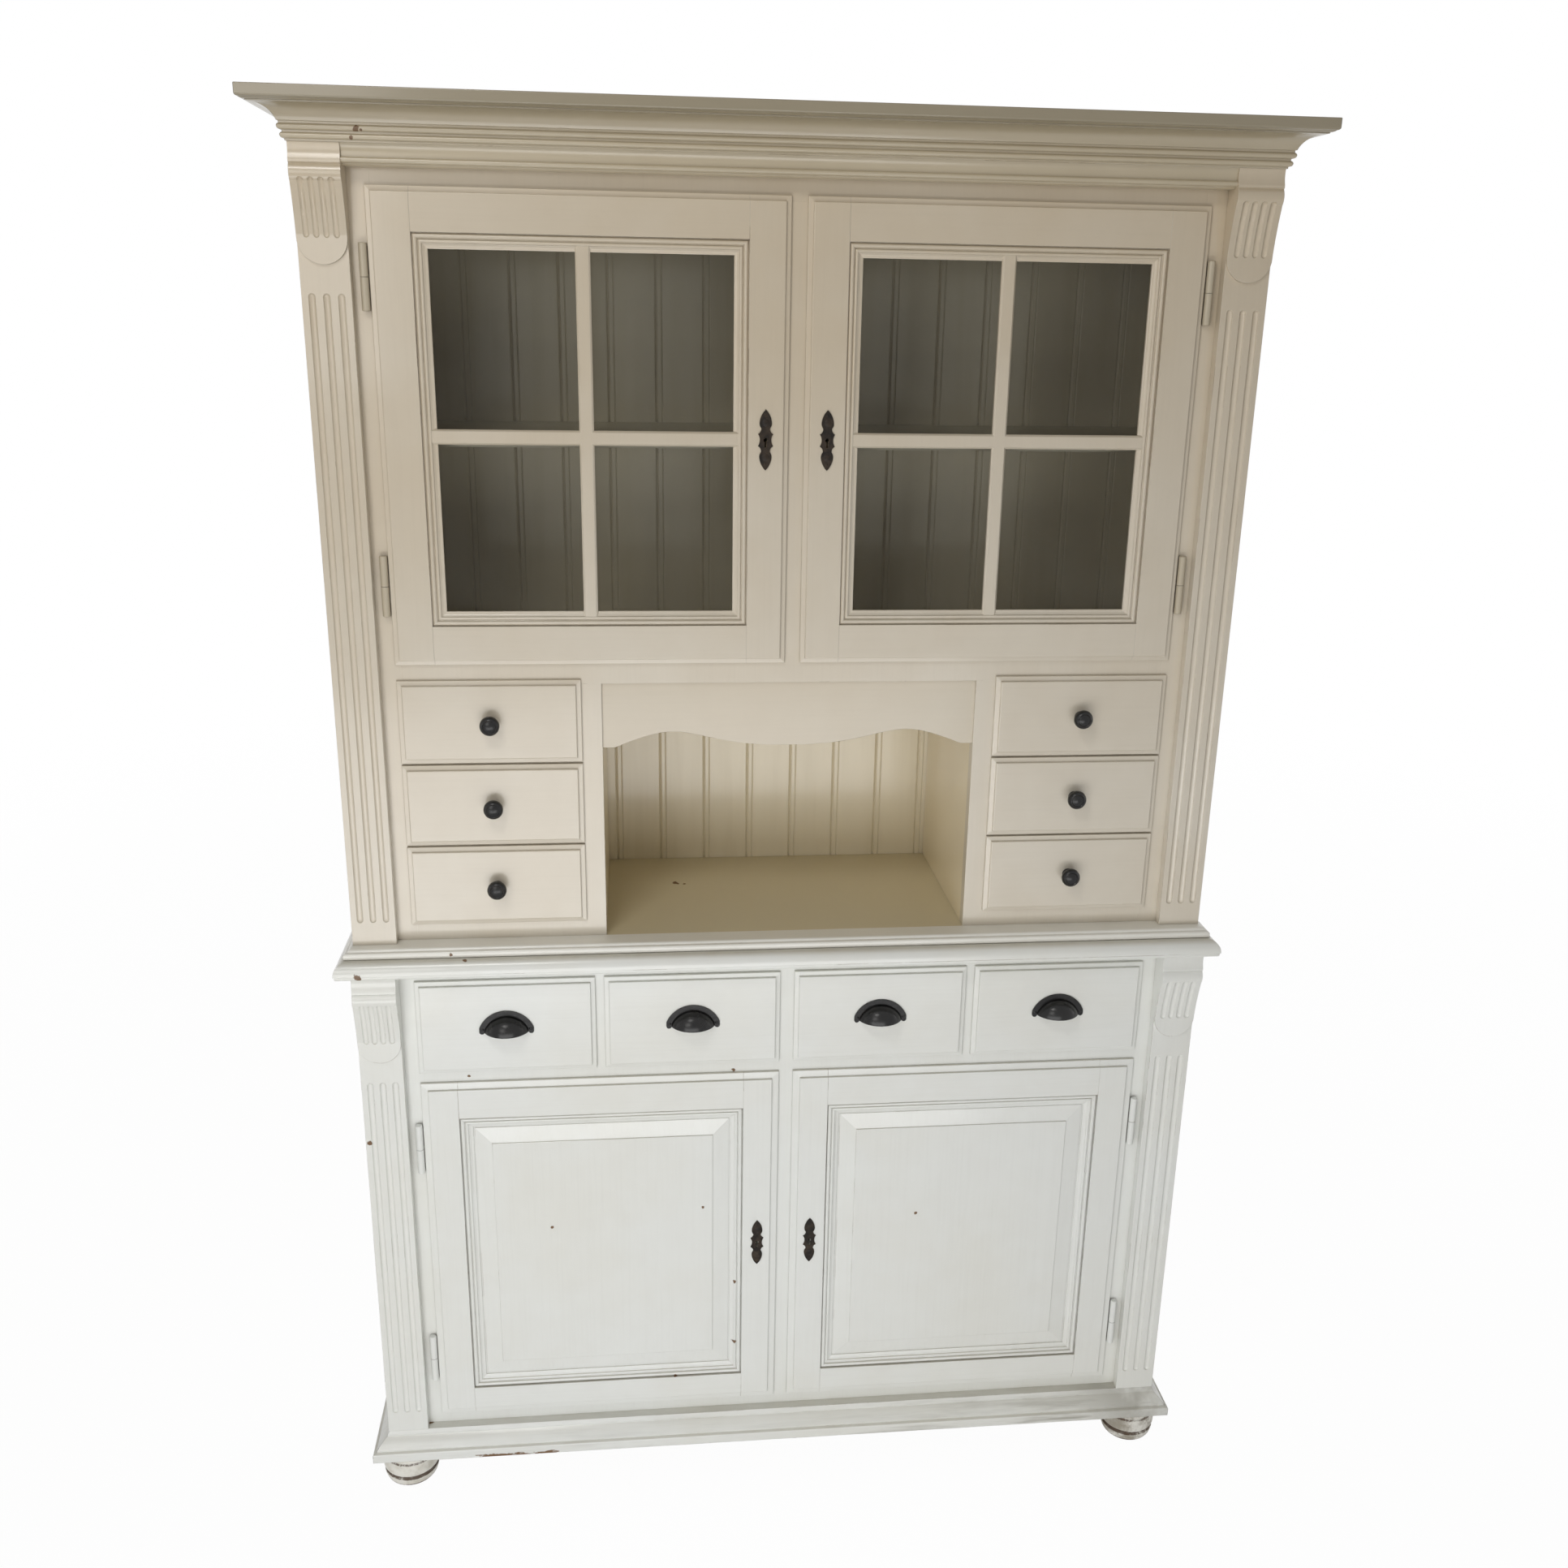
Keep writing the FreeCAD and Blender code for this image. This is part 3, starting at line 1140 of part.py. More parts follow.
def build_case():
    """Every piece that stays still."""
    write("bun_feet", [bun_foot(x, y) for x, y in FOOT_SPOTS])
    write("plinth_frame", plinth())
    buffet_boards = [housed_board(BUFFET_FACE, BUFFET_FLOOR), housed_board(BUFFET_FACE, BUFFET_DECK)]
    write("buffet_carcass", case_sides(BUFFET_FACE, PLINTH_TOP, BUFFET_TOP, buffet_boards) + buffet_boards)
    write("buffet_back_boards", back_boards(PLINTH_TOP, BUFFET_TOP))
    lower_levels = hinge_levels(LOWER_DOOR_Z, LOWER_DOOR_HEIGHT)
    upper_levels = hinge_levels(UPPER_DOOR_Z, UPPER_DOOR_HEIGHT)
    write("buffet_face_frame", buffet_face_frame([frame_leaf(BUFFET_FACE, z) for z in lower_levels]))
    strips = [pilaster(BUFFET_FACE, PLINTH_TOP, BUFFET_TOP), corbel(BUFFET_FACE, BUFFET_TOP)]
    write("buffet_pilasters", both_sides(strips))
    shelves = shelf_with_cleats(BUFFET_FACE, BUFFET_SHELF) + shelf_with_cleats(HUTCH_FACE, HUTCH_SHELF)
    write("shelves", shelves)
    write("buffet_top", [buffet_top()])
    write("hutch_base", [hutch_base()])
    hutch_boards = [housed_board(HUTCH_FACE, HUTCH_DECK), housed_board(HUTCH_FACE, HUTCH_TOP)]
    hutch_sides = case_sides(HUTCH_FACE, HUTCH_BOTTOM, HUTCH_TOP, hutch_boards)
    wall_top = HUTCH_DECK - SHELF_THICKNESS
    wall = box(NICHE_HALF, NICHE_WALL, HUTCH_FACE + FRAME_THICKNESS, BACK_FRONT, HUTCH_BOTTOM, wall_top)
    write("hutch_carcass", hutch_sides + hutch_boards + both_sides([wall]))
    write("hutch_back_boards", back_boards(HUTCH_BOTTOM, HUTCH_TOP))
    write("hutch_face_frame", hutch_face_frame([frame_leaf(HUTCH_FACE, z) for z in upper_levels]))
    strips = [pilaster(HUTCH_FACE, HUTCH_BOTTOM, HUTCH_TOP), corbel(HUTCH_FACE, HUTCH_TOP)]
    write("hutch_pilasters", both_sides(strips))
    write("scalloped_valance", [valance()])
    write("cornice", cornice() + [bed_moulding()])
    write("drawer_runners", both_sides(hutch_runners()) + buffet_runners())
    halves = [frame_half(BUFFET_FACE, z) for z in lower_levels]
    halves += [frame_half(HUTCH_FACE, z) for z in upper_levels]
    write("hinge_pins", both_sides(halves))


def write_both(name, shapes):
    """Write a right-hand node and its mirror image; the name holds a slot for the side."""
    write(name.format("right"), shapes)
    write(name.format("left"), [mirrored(shape) for shape in shapes])


def build_doors():
    """Four lipped doors with their glass or panel, hinges and locks."""
    for storey, face, z0, height in (
            ("upper", HUTCH_FACE, UPPER_DOOR_Z, UPPER_DOOR_HEIGHT),
            ("lower", BUFFET_FACE, LOWER_DOOR_Z, LOWER_DOOR_HEIGHT)):
        name = storey + "_{}_door_"
        levels = hinge_levels(z0, height)
        middle = z0 + height / 2
        cutters = [door_leaf(face, level) for level in levels]
        cutters.append(keyhole(face, middle))
        if storey == "upper":
            hole = door_hole(z0, height, UPPER_DOOR_RAIL, UPPER_DOOR_RAIL)
            write_both(name + "frame", door_frame(face, z0, height, hole, FRONT_EDGE, cutters))
            write_both(name + "glazing_bars", door_glazing(face, hole))
            write_both(name + "glass", [door_glass(face, hole)])
        else:
            hole = door_hole(z0, height, LOWER_DOOR_BOTTOM_RAIL, LOWER_DOOR_TOP_RAIL)
            panel = door_panel(face, hole)
            cutters.append(panel)
            members = door_frame(face, z0, height, hole, LOWER_DOOR_EDGE, cutters)
            write_both(name + "frame", members + door_moulding(face, hole, 0.0))
            write_both(name + "panel", [panel])
        write_both(name + "hinges", [door_half(face, level) for level in levels])
        write_both(name + "lock", escutcheon(face, middle) + [lock_case(face, middle)])
        write_both(name + "bolt", [lock_bolt(face, middle)])


def build_drawers():
    """Six small drawers with knobs in the hutch and four larger ones with cup pulls in the buffet."""
    rows = ("bottom", "middle", "top")
    for row, z in enumerate(HUTCH_DRAWER_ZS):
        label = rows[row] if HUTCH_DRAWER_COUNT == len(rows) else "row_" + str(row + 1)
        x = HUTCH_DRAWER_X + HUTCH_DRAWER_WIDTH / 2
        middle = z + HUTCH_DRAWER_HEIGHT / 2
        bore = pull_bore(HUTCH_FACE, x, middle)
        pieces = drawer_box(HUTCH_FACE, HUTCH_DRAWER_X, z, HUTCH_DRAWER_WIDTH, HUTCH_DRAWER_HEIGHT, bore)
        write_both("hutch_{}_" + label + "_drawer", pieces)
        write_both("hutch_{}_" + label + "_knob", [knob(HUTCH_FACE, x, middle)])
    for label, x0 in zip(("inner", "outer"), BUFFET_DRAWER_XS):
        x = x0 + BUFFET_DRAWER_WIDTH / 2
        mouth = BUFFET_DRAWER_Z + BUFFET_DRAWER_HEIGHT / 2 - CUP_LIFT
        bore = Part.makeBox(1, 1, 1, Vector(0, 0, -10))
        pieces = drawer_box(
            BUFFET_FACE, x0, BUFFET_DRAWER_Z, BUFFET_DRAWER_WIDTH, BUFFET_DRAWER_HEIGHT, bore)
        write_both("buffet_{}_" + label + "_drawer", pieces)
        write_both("buffet_{}_" + label + "_cup_pull", cup_pull(BUFFET_FACE, x, mouth))


os.makedirs("parts", exist_ok=True)
build_case()
build_doors()
build_drawers()
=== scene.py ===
import math

import bpy
from mathutils import Matrix, Vector


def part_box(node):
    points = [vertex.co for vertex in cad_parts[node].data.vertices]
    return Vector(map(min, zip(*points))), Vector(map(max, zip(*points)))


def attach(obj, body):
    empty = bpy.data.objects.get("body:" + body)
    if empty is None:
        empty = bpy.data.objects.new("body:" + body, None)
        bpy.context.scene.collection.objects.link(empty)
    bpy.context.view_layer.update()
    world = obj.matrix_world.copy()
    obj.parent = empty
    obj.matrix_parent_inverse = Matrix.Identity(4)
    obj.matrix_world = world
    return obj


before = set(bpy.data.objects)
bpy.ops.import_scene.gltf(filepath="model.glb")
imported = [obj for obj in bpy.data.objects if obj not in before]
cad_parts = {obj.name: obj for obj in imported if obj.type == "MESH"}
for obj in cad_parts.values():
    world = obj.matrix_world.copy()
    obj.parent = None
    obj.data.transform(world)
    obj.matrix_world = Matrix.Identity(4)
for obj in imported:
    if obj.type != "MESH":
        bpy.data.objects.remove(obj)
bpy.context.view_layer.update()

MM = 0.001

# Tones of paint, dirt, painted light and shade, wood and metal, as sRGB codes
HUTCH_CREAM = "DAD3C5"
# Yellowed tone of the hutch, which its paint also darkens towards with height: painted shade for light
# falling off towards the top
HUTCH_YELLOWED_AND_SHADED = "C9BAA1"
# Darker cream of the valance: painted shade
VALANCE_SHADED_CREAM = "CFC6B4"
# The cornice's tones are darker than the hutch's, partly painted shade for the top of the cupboard
CORNICE_CREAM = "CEC3AD"
CORNICE_YELLOWED_AND_SHADED = "BCAF95"
BUFFET_CREAM = "E5E7E4"
BUFFET_YELLOWED = "DEDBCE"
# Whitest cream on the nose of the hutch base: painted light
NOSE_LIT_CREAM = "EFEEE8"
# Painted highlight on convex edges
EDGE_HIGHLIGHT = "F4F3EF"
NICHE_FLOOR = "CFC4A5"
# Niche tones lighter than the hutch cream: painted light in the niche
NICHE_BOARDS_LIT = "E9DFC6"
NICHE_WALL_LIT = "F0E4C8"
# Greyer tone inside the glazed cupboard: painted shade
CUPBOARD_INSIDE_SHADED = "DDD5C2"
BUFFET_INSIDE = "B9AE92"
# Dust on ledges, also painted shade on surfaces that face up
LEDGE_DUST_AND_SHADE = "A89D80"
# Painted shade along the top edge of the cornice
CORNICE_TOP_SHADE = "8A8069"
PLINTH_GREY = "98958A"
HINGE_CREAM = "BDB29C"
BOARD_STREAK = "C3B591"
# Dark brown of grime, also used for painted shade in corners
GRIME_AND_SHADE = "6E6149"
# Dark brown of joint lines, also used for painted shade in gaps
JOINT_AND_GAP_SHADE = "3A3025"
BARE_WOOD = "6B4E30"
KNOT_BROWN = "4A3524"
FOOT_PALE = "E8E6DF"
FOOT_GREY = "CDC9BD"
PINE_PALE = "D8BE96"
PINE_DARK = "C2A072"
PINE_RED = "B08A5E"
END_GRAIN = "8E6638"
IRON_BLACK = "0B0A0A"
IRON_CLOUD = "151413"
IRON_BRONZE = "4A3E32"
PLATE_BROWN = "17110C"
PLATE_BRONZE = "6B5638"
IRON_DEEP = "060606"
STEEL = "77736B"
RUST = "5A3E28"
NAIL_DARK = "3E3A35"

# Chips and marks in the paint: places and radii in millimetres, in the frame of the cupboard
CORNICE_CHIPS = ((-563, -169, 2084, 4), (-557, -169, 2083, 2), (-570, -166, 2074, 3))
PLINTH_CHIPS = (
    (-624, -187, 88, 3), (-624, -188, 82, 3), (-560, -176, 102, 5), (-585, -149, 105, 7),
    (550, -141, 105, 7), (576, -142, 105, 6),
)
TOP_CHIPS = ((-638, -188, 936, 6), (-484, -178, 954, 4))
BASE_MARKS = ((-505, -169, 961, 3), (-164, 79, 969, 6), (-150, 74, 969, 3))
PANEL_CHIPS = ((-372, -156, 475, 3), (-131, -156, 500, 3), (218, -156, 471, 3))
DOOR_CHIPS = (
    (-80, -156, 355, 4), (-80, -156, 237, 5), (-177, -156, 178, 5),
    (-94, -156, 200, 4), (-508, -156, 397, 3),
)
BUFFET_FRAME_CHIPS = ((-644, -165, 647, 4), (-491, -149, 748, 3), (-82, -149, 742, 4))

# From side to side: start of the darker blotches at the right end of the plinth and feet, and the scrape
# on the plinth's lower edge
DARKENS_FROM = 420.0 * MM
SCRAPE_MIDDLE = -440.0 * MM
SCRAPE_REACH = 80.0 * MM

# Scrape above the lower edge of the plinth and behind its face; painted shade below the top of the cornice
SCRAPE_FULL = 3.0 * MM
SCRAPE_TOP = 11.0 * MM
SCRAPE_DEPTH = 8.0 * MM
CORNICE_SHADE_FROM = 30.0 * MM
CORNICE_SHADE_FULL = 14.0 * MM

# Camera of the photograph: place in metres; turn to the right, downward tilt and roll in degrees;
# lens and sensor in millimetres
CAMERA_PLACE = Vector((-0.2298, -2.1972, 1.8664))
CAMERA_TURN = 6.118
CAMERA_TILT = 17.627
CAMERA_ROLL = 0.978
CAMERA_LENS = 33.58
SENSOR = 36.0

# Planes of the cupboard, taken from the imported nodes
hutch_frame_low, hutch_frame_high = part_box("hutch_face_frame")
glass_low, glass_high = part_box("upper_right_door_glass")
panel_low, panel_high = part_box("lower_right_door_panel")
base_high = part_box("hutch_base")[1]
cupboard_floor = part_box("upper_right_door_frame")[0].z
cornice_low, cornice_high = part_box("cornice")
plinth_low, plinth_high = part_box("plinth_frame")
HALF = hutch_frame_high.x
HUTCH_FACE = hutch_frame_low.y
BUFFET_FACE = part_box("buffet_face_frame")[0].y
NICHE_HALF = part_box("scalloped_valance")[1].x
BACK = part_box("hutch_back_boards")[1].y
cornice_face = cornice_low.y + (cornice_high.x - HALF)
plinth_face = plinth_low.y + (plinth_high.x - HALF)

# Room round a pane, tongue of a panel in its frame, thickness of a drawer front behind its lip
GLASS_EDGE_GAP = 0.5 * MM
PANEL_TONGUE = 8.0 * MM
DRAWER_CORE = 10.0 * MM

# Reach of the corners that hold dirt and painted shade, rounding of worn edges
CORNER_REACH = 14.0 * MM
EDGE_ROUND = 1.1 * MM

# Boards in each back, and their nails
BOARD_COUNT = 17
NAIL_RADIUS = 2.6 * MM
NAIL_MARGIN = 25.0 * MM

# Dovetails of the drawers: half widths of a tail at its wide and narrow end
TAIL_WIDE = 10.5 * MM
TAIL_NARROW = 7.5 * MM

# How near a face of the cupboard a surface still counts as lying on it
SIDE_SKIN = 0.2 * MM
FRONT_SKIN = 0.3 * MM
BACK_SKIN = 0.4 * MM
TOP_SKIN = 0.5 * MM

# Paint: reach of the painted shade in its narrowest gaps, depth of its relief, lines at its joints, gloss
# over it
CREVICE_REACH = 3.0 * MM
PAINT_RELIEF = 0.35 * MM
JOINT_LINE = 0.5 * MM
MITRE_DEPTH = 30.0 * MM
MOULDING_WIDTH = 22.0 * MM
PAINT_COAT = 0.45
PAINT_COAT_ROUGHNESS = 0.12

# Feet: height of the worn hem and of the two worn rings
FOOT_HEM = 11.0 * MM
FOOT_RING = 20.0 * MM
FOOT_CREST = 46.0 * MM

# Glass: what it lets through, the body of its reflection, how it bends light
GLASS_CLEAR = (0.93, 0.93, 0.91, 1.0)
GLASS_SHINE = (0.26, 0.25, 0.22, 1.0)
GLASS_IOR = 1.5


def tone(code):
    """Linear colour of an sRGB code."""
    values = []
    for start in (0, 2, 4):
        level = int(code[start:start + 2], 16) / 255
        values.append(level / 12.92 if level <= 0.04045 else ((level + 0.055) / 1.055) ** 2.4)
    return (*values, 1.0)


class Level:
    """A value in a shader; arithmetic on it adds Math nodes."""

    def __init__(self, finish, socket):
        self.finish = finish
        self.socket = socket

    def math(self, operation, *values):
        sockets = dict(enumerate(values))
        return self.finish.node("Math", {"operation": operation}, sockets)

    def __add__(self, other):
        return self.math("ADD", self, other)

    def __radd__(self, other):
        return self.math("ADD", other, self)

    def __sub__(self, other):
        return self.math("SUBTRACT", self, other)

    def __rsub__(self, other):
        return self.math("SUBTRACT", other, self)

    def __mul__(self, other):
        return self.math("MULTIPLY", self, other)

    def __rmul__(self, other):
        return self.math("MULTIPLY", other, self)

    def __abs__(self):
        return self.math("ABSOLUTE", self)

    def __gt__(self, other):
        return self.math("GREATER_THAN", self, other)

    def __lt__(self, other):
        return self.math("LESS_THAN", self, other)

    def least(self, other):
        return self.math("MINIMUM", self, other)

    def most(self, other):
        return self.math("MAXIMUM", self, other)


class Finish:
    """One material, or the world, and the shader nodes that make it."""

    def __init__(self, name, owner=None):
        self.owner = owner or bpy.data.materials.new(name)
        self.owner.use_nodes = True
        self.tree = self.owner.node_tree
        self.tree.nodes.clear()
        self.place = self.node("TexCoord", output="Object")
        self.x, self.y, self.z = self.parts(self.place)

    def node(self, kind, settings=None, sockets=None, output=0):
        """Add a node: its type, its settings, then values or links for its sockets."""
        made = self.tree.nodes.new("ShaderNode" + kind)
        for key, value in (settings or {}).items():
            setattr(made, key, value)
        for key, value in (sockets or {}).items():
            if isinstance(value, Level):
                self.tree.links.new(value.socket, made.inputs[key])
            else:
                made.inputs[key].default_value = value
        return Level(self, made.outputs[output]) if made.outputs else None

    def parts(self, vector):
        """The three coordinates of a vector."""
        first = self.node("SeparateXYZ", sockets={0: vector})
        outputs = first.socket.node.outputs
        return [Level(self, outputs[index]) for index in range(3)]

    def stretched(self, x, y, z):
        """Coordinates scaled along each axis."""
        return self.node("VectorMath", {"operation": "MULTIPLY"}, {0: self.place, 1: (x, y, z)})

    def noise(self, scale, detail=3.0, roughness=0.5, place=None):
        """Cloudy value between 0 and 1."""
        sockets = {"Vector": place or self.place, "Scale": scale, "Detail": detail, "Roughness": roughness}
        return self.node("TexNoise", None, sockets)

    def band(self, value, low, high, start=0.0, end=1.0):
        """Smooth rise of a value from start to end between two limits."""
        sockets = {"Value": value, "From Min": low, "From Max": high, "To Min": start, "To Max": end}
        return self.node("MapRange", {"interpolation_type": "SMOOTHSTEP"}, sockets)

    def mix(self, share, first, second, blend="MIX"):
        """Colour between two colours."""
        settings = {"data_type": "RGBA", "blend_type": blend}
        return self.node("Mix", settings, {0: share, 6: first, 7: second}, 2)

    def bump(self, height, distance, strength=1.0, normal=None):
        """Normal of a relief."""
        sockets = {"Height": height, "Distance": distance, "Strength": strength}
        if normal:
            sockets["Normal"] = normal
        return self.node("Bump", None, sockets)

    def hollow(self, reach, local=False, samples=6):
        """How much the surface is shut in within a reach: 0 in the open.

        Only its own piece counts where local is set, and otherwise all that is near.
        """
        settings = {"samples": samples, "only_local": local}
        opening = self.node("AmbientOcclusion", settings, {"Distance": reach}, "AO")
        return 1.0 - opening

    def rounded(self, radius, samples=4):
        """Normal with edges rounded to a radius, and how far it turns from the true one."""
        soft = self.node("Bevel", {"samples": samples}, {"Radius": radius})
        true = self.node("NewGeometry", output="Normal")
        match = self.node("VectorMath", {"operation": "DOT_PRODUCT"}, {0: soft, 1: true}, 1)
        return soft, 1.0 - match

    def facing_up(self):
        """How far the surface faces upwards: 1 on a level top."""
        return self.parts(self.node("NewGeometry", output="Normal"))[2]

    def hairline(self, distance, width):
        """Line along the places where a distance is nought."""
        return self.band(abs(distance), 0.4 * width, width, 1.0, 0.0)

    def surface(self, **sockets):
        """End the material in a Principled surface."""
        named = {key.replace("_", " "): value for key, value in sockets.items()}
        return self.end_in(self.node("BsdfPrincipled", None, named))

    def end_in(self, shader, output="OutputMaterial"):
        """End the tree in a shader."""
        self.node(output, None, {"Surface": shader})
        return self.owner

    def looked_at(self):
        """1 for rays from the camera, from reflections and through glass."""
        camera = self.node("LightPath", output="Is Camera Ray")
        mirrored = self.node("LightPath", output="Is Glossy Ray")
        through = self.node("LightPath", output="Is Transmission Ray")
        return camera.most(mirrored).most(through)


def grain_of(finish, run):
    """Fine lines of brush and wood along the length of a board."""
    along, across = 7.0, 240.0
    scales = {"X": (along, across, across), "Y": (across, along, across), "Z": (across, across, along)}
    return finish.noise(1.0, 4.0, 0.6, finish.stretched(*scales[run]))


def frame_grain(finish, is_rail):
    """Lines that run up the stiles and along the rails."""
    upright = grain_of(finish, "Z")
    level = grain_of(finish, "X")
    return upright + is_rail * (level - upright)


def painted(finish, fresh, yellowed_and_shaded, worn, lines, joints=None, spots=(), tint=None, dust_and_shade=0.5, bare=None,
            local=False):
    """Semi-gloss paint: drifting tone, brush lines, chips on edges; darker towards the top and in narrow
    gaps as painted shade, dust and painted shade on ledges, grime and painted shade in corners, painted
    highlights on edges.
    """
    soft, edge = finish.rounded(EDGE_ROUND)
    shut = finish.hollow(CORNER_REACH, local)
    drift = finish.band(finish.noise(2.6, 4.0, 0.6), 0.35, 0.68)
    # Painted shade: the paint grows darker and yellower towards the top of the hutch, besides its random
    # drift in tone
    shade_towards_top = finish.band(finish.z, 1.0, 2.1)
    mottle = finish.noise(21.0, 4.0, 0.65)
    fine = finish.noise(170.0, 4.0, 0.6)
    colour = finish.mix(0.3 * drift + 0.7 * shade_towards_top, tone(fresh), tone(yellowed_and_shaded))
    colour = finish.mix(finish.band(mottle, 0.30, 0.70) * 0.016, colour, tone(GRIME_AND_SHADE), "MULTIPLY")
    colour = finish.mix(finish.band(lines, 0.42, 0.72) * 0.02, colour, tone(GRIME_AND_SHADE), "MULTIPLY")
    # Dust and painted shade: surfaces that face up grow darker
    dust_and_shade_on_tops = finish.band(finish.facing_up(), 0.6, 0.97) * (0.6 + 0.4 * mottle)
    colour = finish.mix(dust_and_shade_on_tops * dust_and_shade, colour, tone(LEDGE_DUST_AND_SHADE))
    if tint:
        share, hue = tint
        colour = finish.mix(share, colour, hue)
    # Painted highlight: the paint is lightened along convex edges, away from corners
    edge_highlight = finish.band(edge, 0.02, 0.16) * finish.band(shut, 0.1, 0.4, 1.0, 0.0)
    colour = finish.mix(edge_highlight * 0.3, colour, tone(EDGE_HIGHLIGHT))
    # Grime and painted shade: darker where the surface is shut in by corners
    corner_shade_and_grime = finish.band(shut, 0.34, 0.92) * (0.65 + 0.35 * finish.band(mottle, 0.36, 0.62))
    colour = finish.mix(corner_shade_and_grime * 0.48, colour, tone(GRIME_AND_SHADE))
    # Painted shade: dark brown deep in the narrowest gaps
    crevice_shade = finish.band(finish.hollow(CREVICE_REACH, local), 0.62, 0.98)
    colour = finish.mix(crevice_shade * 0.45, colour, tone(JOINT_AND_GAP_SHADE))
    chipped = finish.band(edge, 0.03, 0.16) * finish.band(shut, 0.12, 0.45, 1.0, 0.0)
    patches = finish.band(finish.noise(9.0, 2.0, 0.5), 0.52 - worn * 0.16, 0.66)
    chipped = finish.band(chipped * patches * (0.55 * mottle + 0.75 * fine), 0.40, 0.46)
    for x, y, z, radius in spots:
        centre = (x * MM, y * MM, z * MM)
        away = finish.node("VectorMath", {"operation": "DISTANCE"}, {0: finish.place, 1: centre}, 1)
        ragged = away + (fine - 0.5) * (2.2 * radius * MM) + (mottle - 0.5) * (1.5 * radius * MM)
        chipped = chipped.most(finish.band(ragged, 0.7 * radius * MM, radius * MM, 1.0, 0.0))
    if bare:
        chipped = chipped.most(bare)
    height = 0.2 * lines + 0.08 * mottle + 0.06 * fine - 1.2 * chipped
    if joints:
        colour = finish.mix(joints * 0.22, colour, tone(GRIME_AND_SHADE))
        height = height - 0.6 * joints
    colour = finish.mix(chipped, colour, tone(BARE_WOOD))
    normal = finish.bump(height, PAINT_RELIEF, 0.5, soft)
    rough = 0.26 + 0.06 * mottle + 0.3 * corner_shade_and_grime + 0.4 * chipped + 0.2 * dust_and_shade_on_tops
    return finish.surface(
        Base_Color=colour, Roughness=rough, Normal=normal,
        Coat_Weight=PAINT_COAT, Coat_Roughness=PAINT_COAT_ROUGHNESS)


def pine_colour(finish, run):
    """Bare pine: its colour, and the growth lines drawn out along the board."""
    scales = {"X": (2.2, 60.0, 60.0), "Y": (60.0, 2.2, 60.0), "Z": (60.0, 60.0, 2.2)}
    lines = finish.noise(1.0, 5.0, 0.62, finish.stretched(*scales[run]))
    drift = finish.noise(4.0, 3.0, 0.5)
    colour = finish.mix(finish.band(lines, 0.38, 0.66), tone(PINE_PALE), tone(PINE_DARK))
    colour = finish.mix(finish.band(drift, 0.35, 0.7) * 0.35, colour, tone(PINE_RED))
    return colour, lines


def board_back(finish, colour, boards, level):
    """Joints between the boards of a back, and nail heads flush with it near both ends and at a level."""
    low, high = boards
    half = (high.x - low.x) / BOARD_COUNT / 2
    away = finish.node("Math", {"operation": "PINGPONG"}, {0: finish.x - low.x, 1: half})
    joints = finish.hairline(away, 0.9 * MM)
    from_nail = finish.x - (low.x + half / 2)
    aside = finish.node("Math", {"operation": "PINGPONG"}, {0: from_nail, 1: half / 2})
    rows = [finish.z - height for height in (low.z + NAIL_MARGIN, level, high.z - NAIL_MARGIN)]
    nearest = abs(rows[0]).least(abs(rows[1])).least(abs(rows[2]))
    apart = aside * aside + nearest * nearest
    heads = finish.band(apart, (0.8 * NAIL_RADIUS) ** 2, NAIL_RADIUS ** 2, 1.0, 0.0)
    heads = heads * (finish.y > BACK - BACK_SKIN)
    colour = finish.mix(joints * 0.8, colour, tone(JOINT_AND_GAP_SHADE))
    return finish.mix(heads, colour, tone(NAIL_DARK)), joints


def bare_pine(name, run, boards=None, level=0.0):
    """Unpainted pine that never shows from the front, as nailed boards where it closes a back."""
    finish = Finish(name)
    colour, lines = pine_colour(finish, run)
    shut = finish.hollow(20.0 * MM)
    # Painted shade: the pine darkens where it is shut in by corners
    colour = finish.mix(shut * 0.45, colour, tone(GRIME_AND_SHADE))
    height = lines
    if boards:
        colour, joints = board_back(finish, colour, boards, level)
        height = lines - 1.5 * joints
    normal = finish.bump(height, 0.3 * MM, 0.5)
    rough = 0.62 + 0.2 * lines
    return finish.surface(Base_Color=colour, Roughness=rough, Normal=normal)


def plain_paint(name, fresh, yellowed_and_shaded, worn, run, spots=()):
    """Paint on boards that all run one way."""
    finish = Finish(name)
    return painted(finish, fresh, yellowed_and_shaded, worn, grain_of(finish, run), spots=spots)


def bar_paint(name):
    """Glazing bars and beads: dirt only in their own corners, not where they touch the glass."""
    finish = Finish(name)
    return painted(finish, HUTCH_CREAM, HUTCH_YELLOWED_AND_SHADED, 0.3, grain_of(finish, "Z"), local=True)


def mitre_lines(finish, face):
    """Hairlines where mitred lengths meet at the front corners."""
    mitre = abs(finish.x) + finish.y - (HALF + face)
    ahead = finish.band(finish.y, face + MITRE_DEPTH, face + MITRE_DEPTH + 1 * MM, 1.0, 0.0)
    return finish.hairline(mitre, JOINT_LINE) * ahead


def cornice_paint(name):
    """Cornice: the darkest, most yellowed paint, partly painted shade, with more painted shade along its
    top edge.
    """
    finish = Finish(name)
    # Painted shade: a darker band along the top edge of the cornice
    shade_towards_top = finish.band(finish.z, cornice_high.z - CORNICE_SHADE_FROM, cornice_high.z - CORNICE_SHADE_FULL) * 0.8
    return painted(
        finish, CORNICE_CREAM, CORNICE_YELLOWED_AND_SHADED, 0.5, grain_of(finish, "X"),
        mitre_lines(finish, cornice_face), CORNICE_CHIPS, (shade_towards_top, tone(CORNICE_TOP_SHADE)), 0.4)


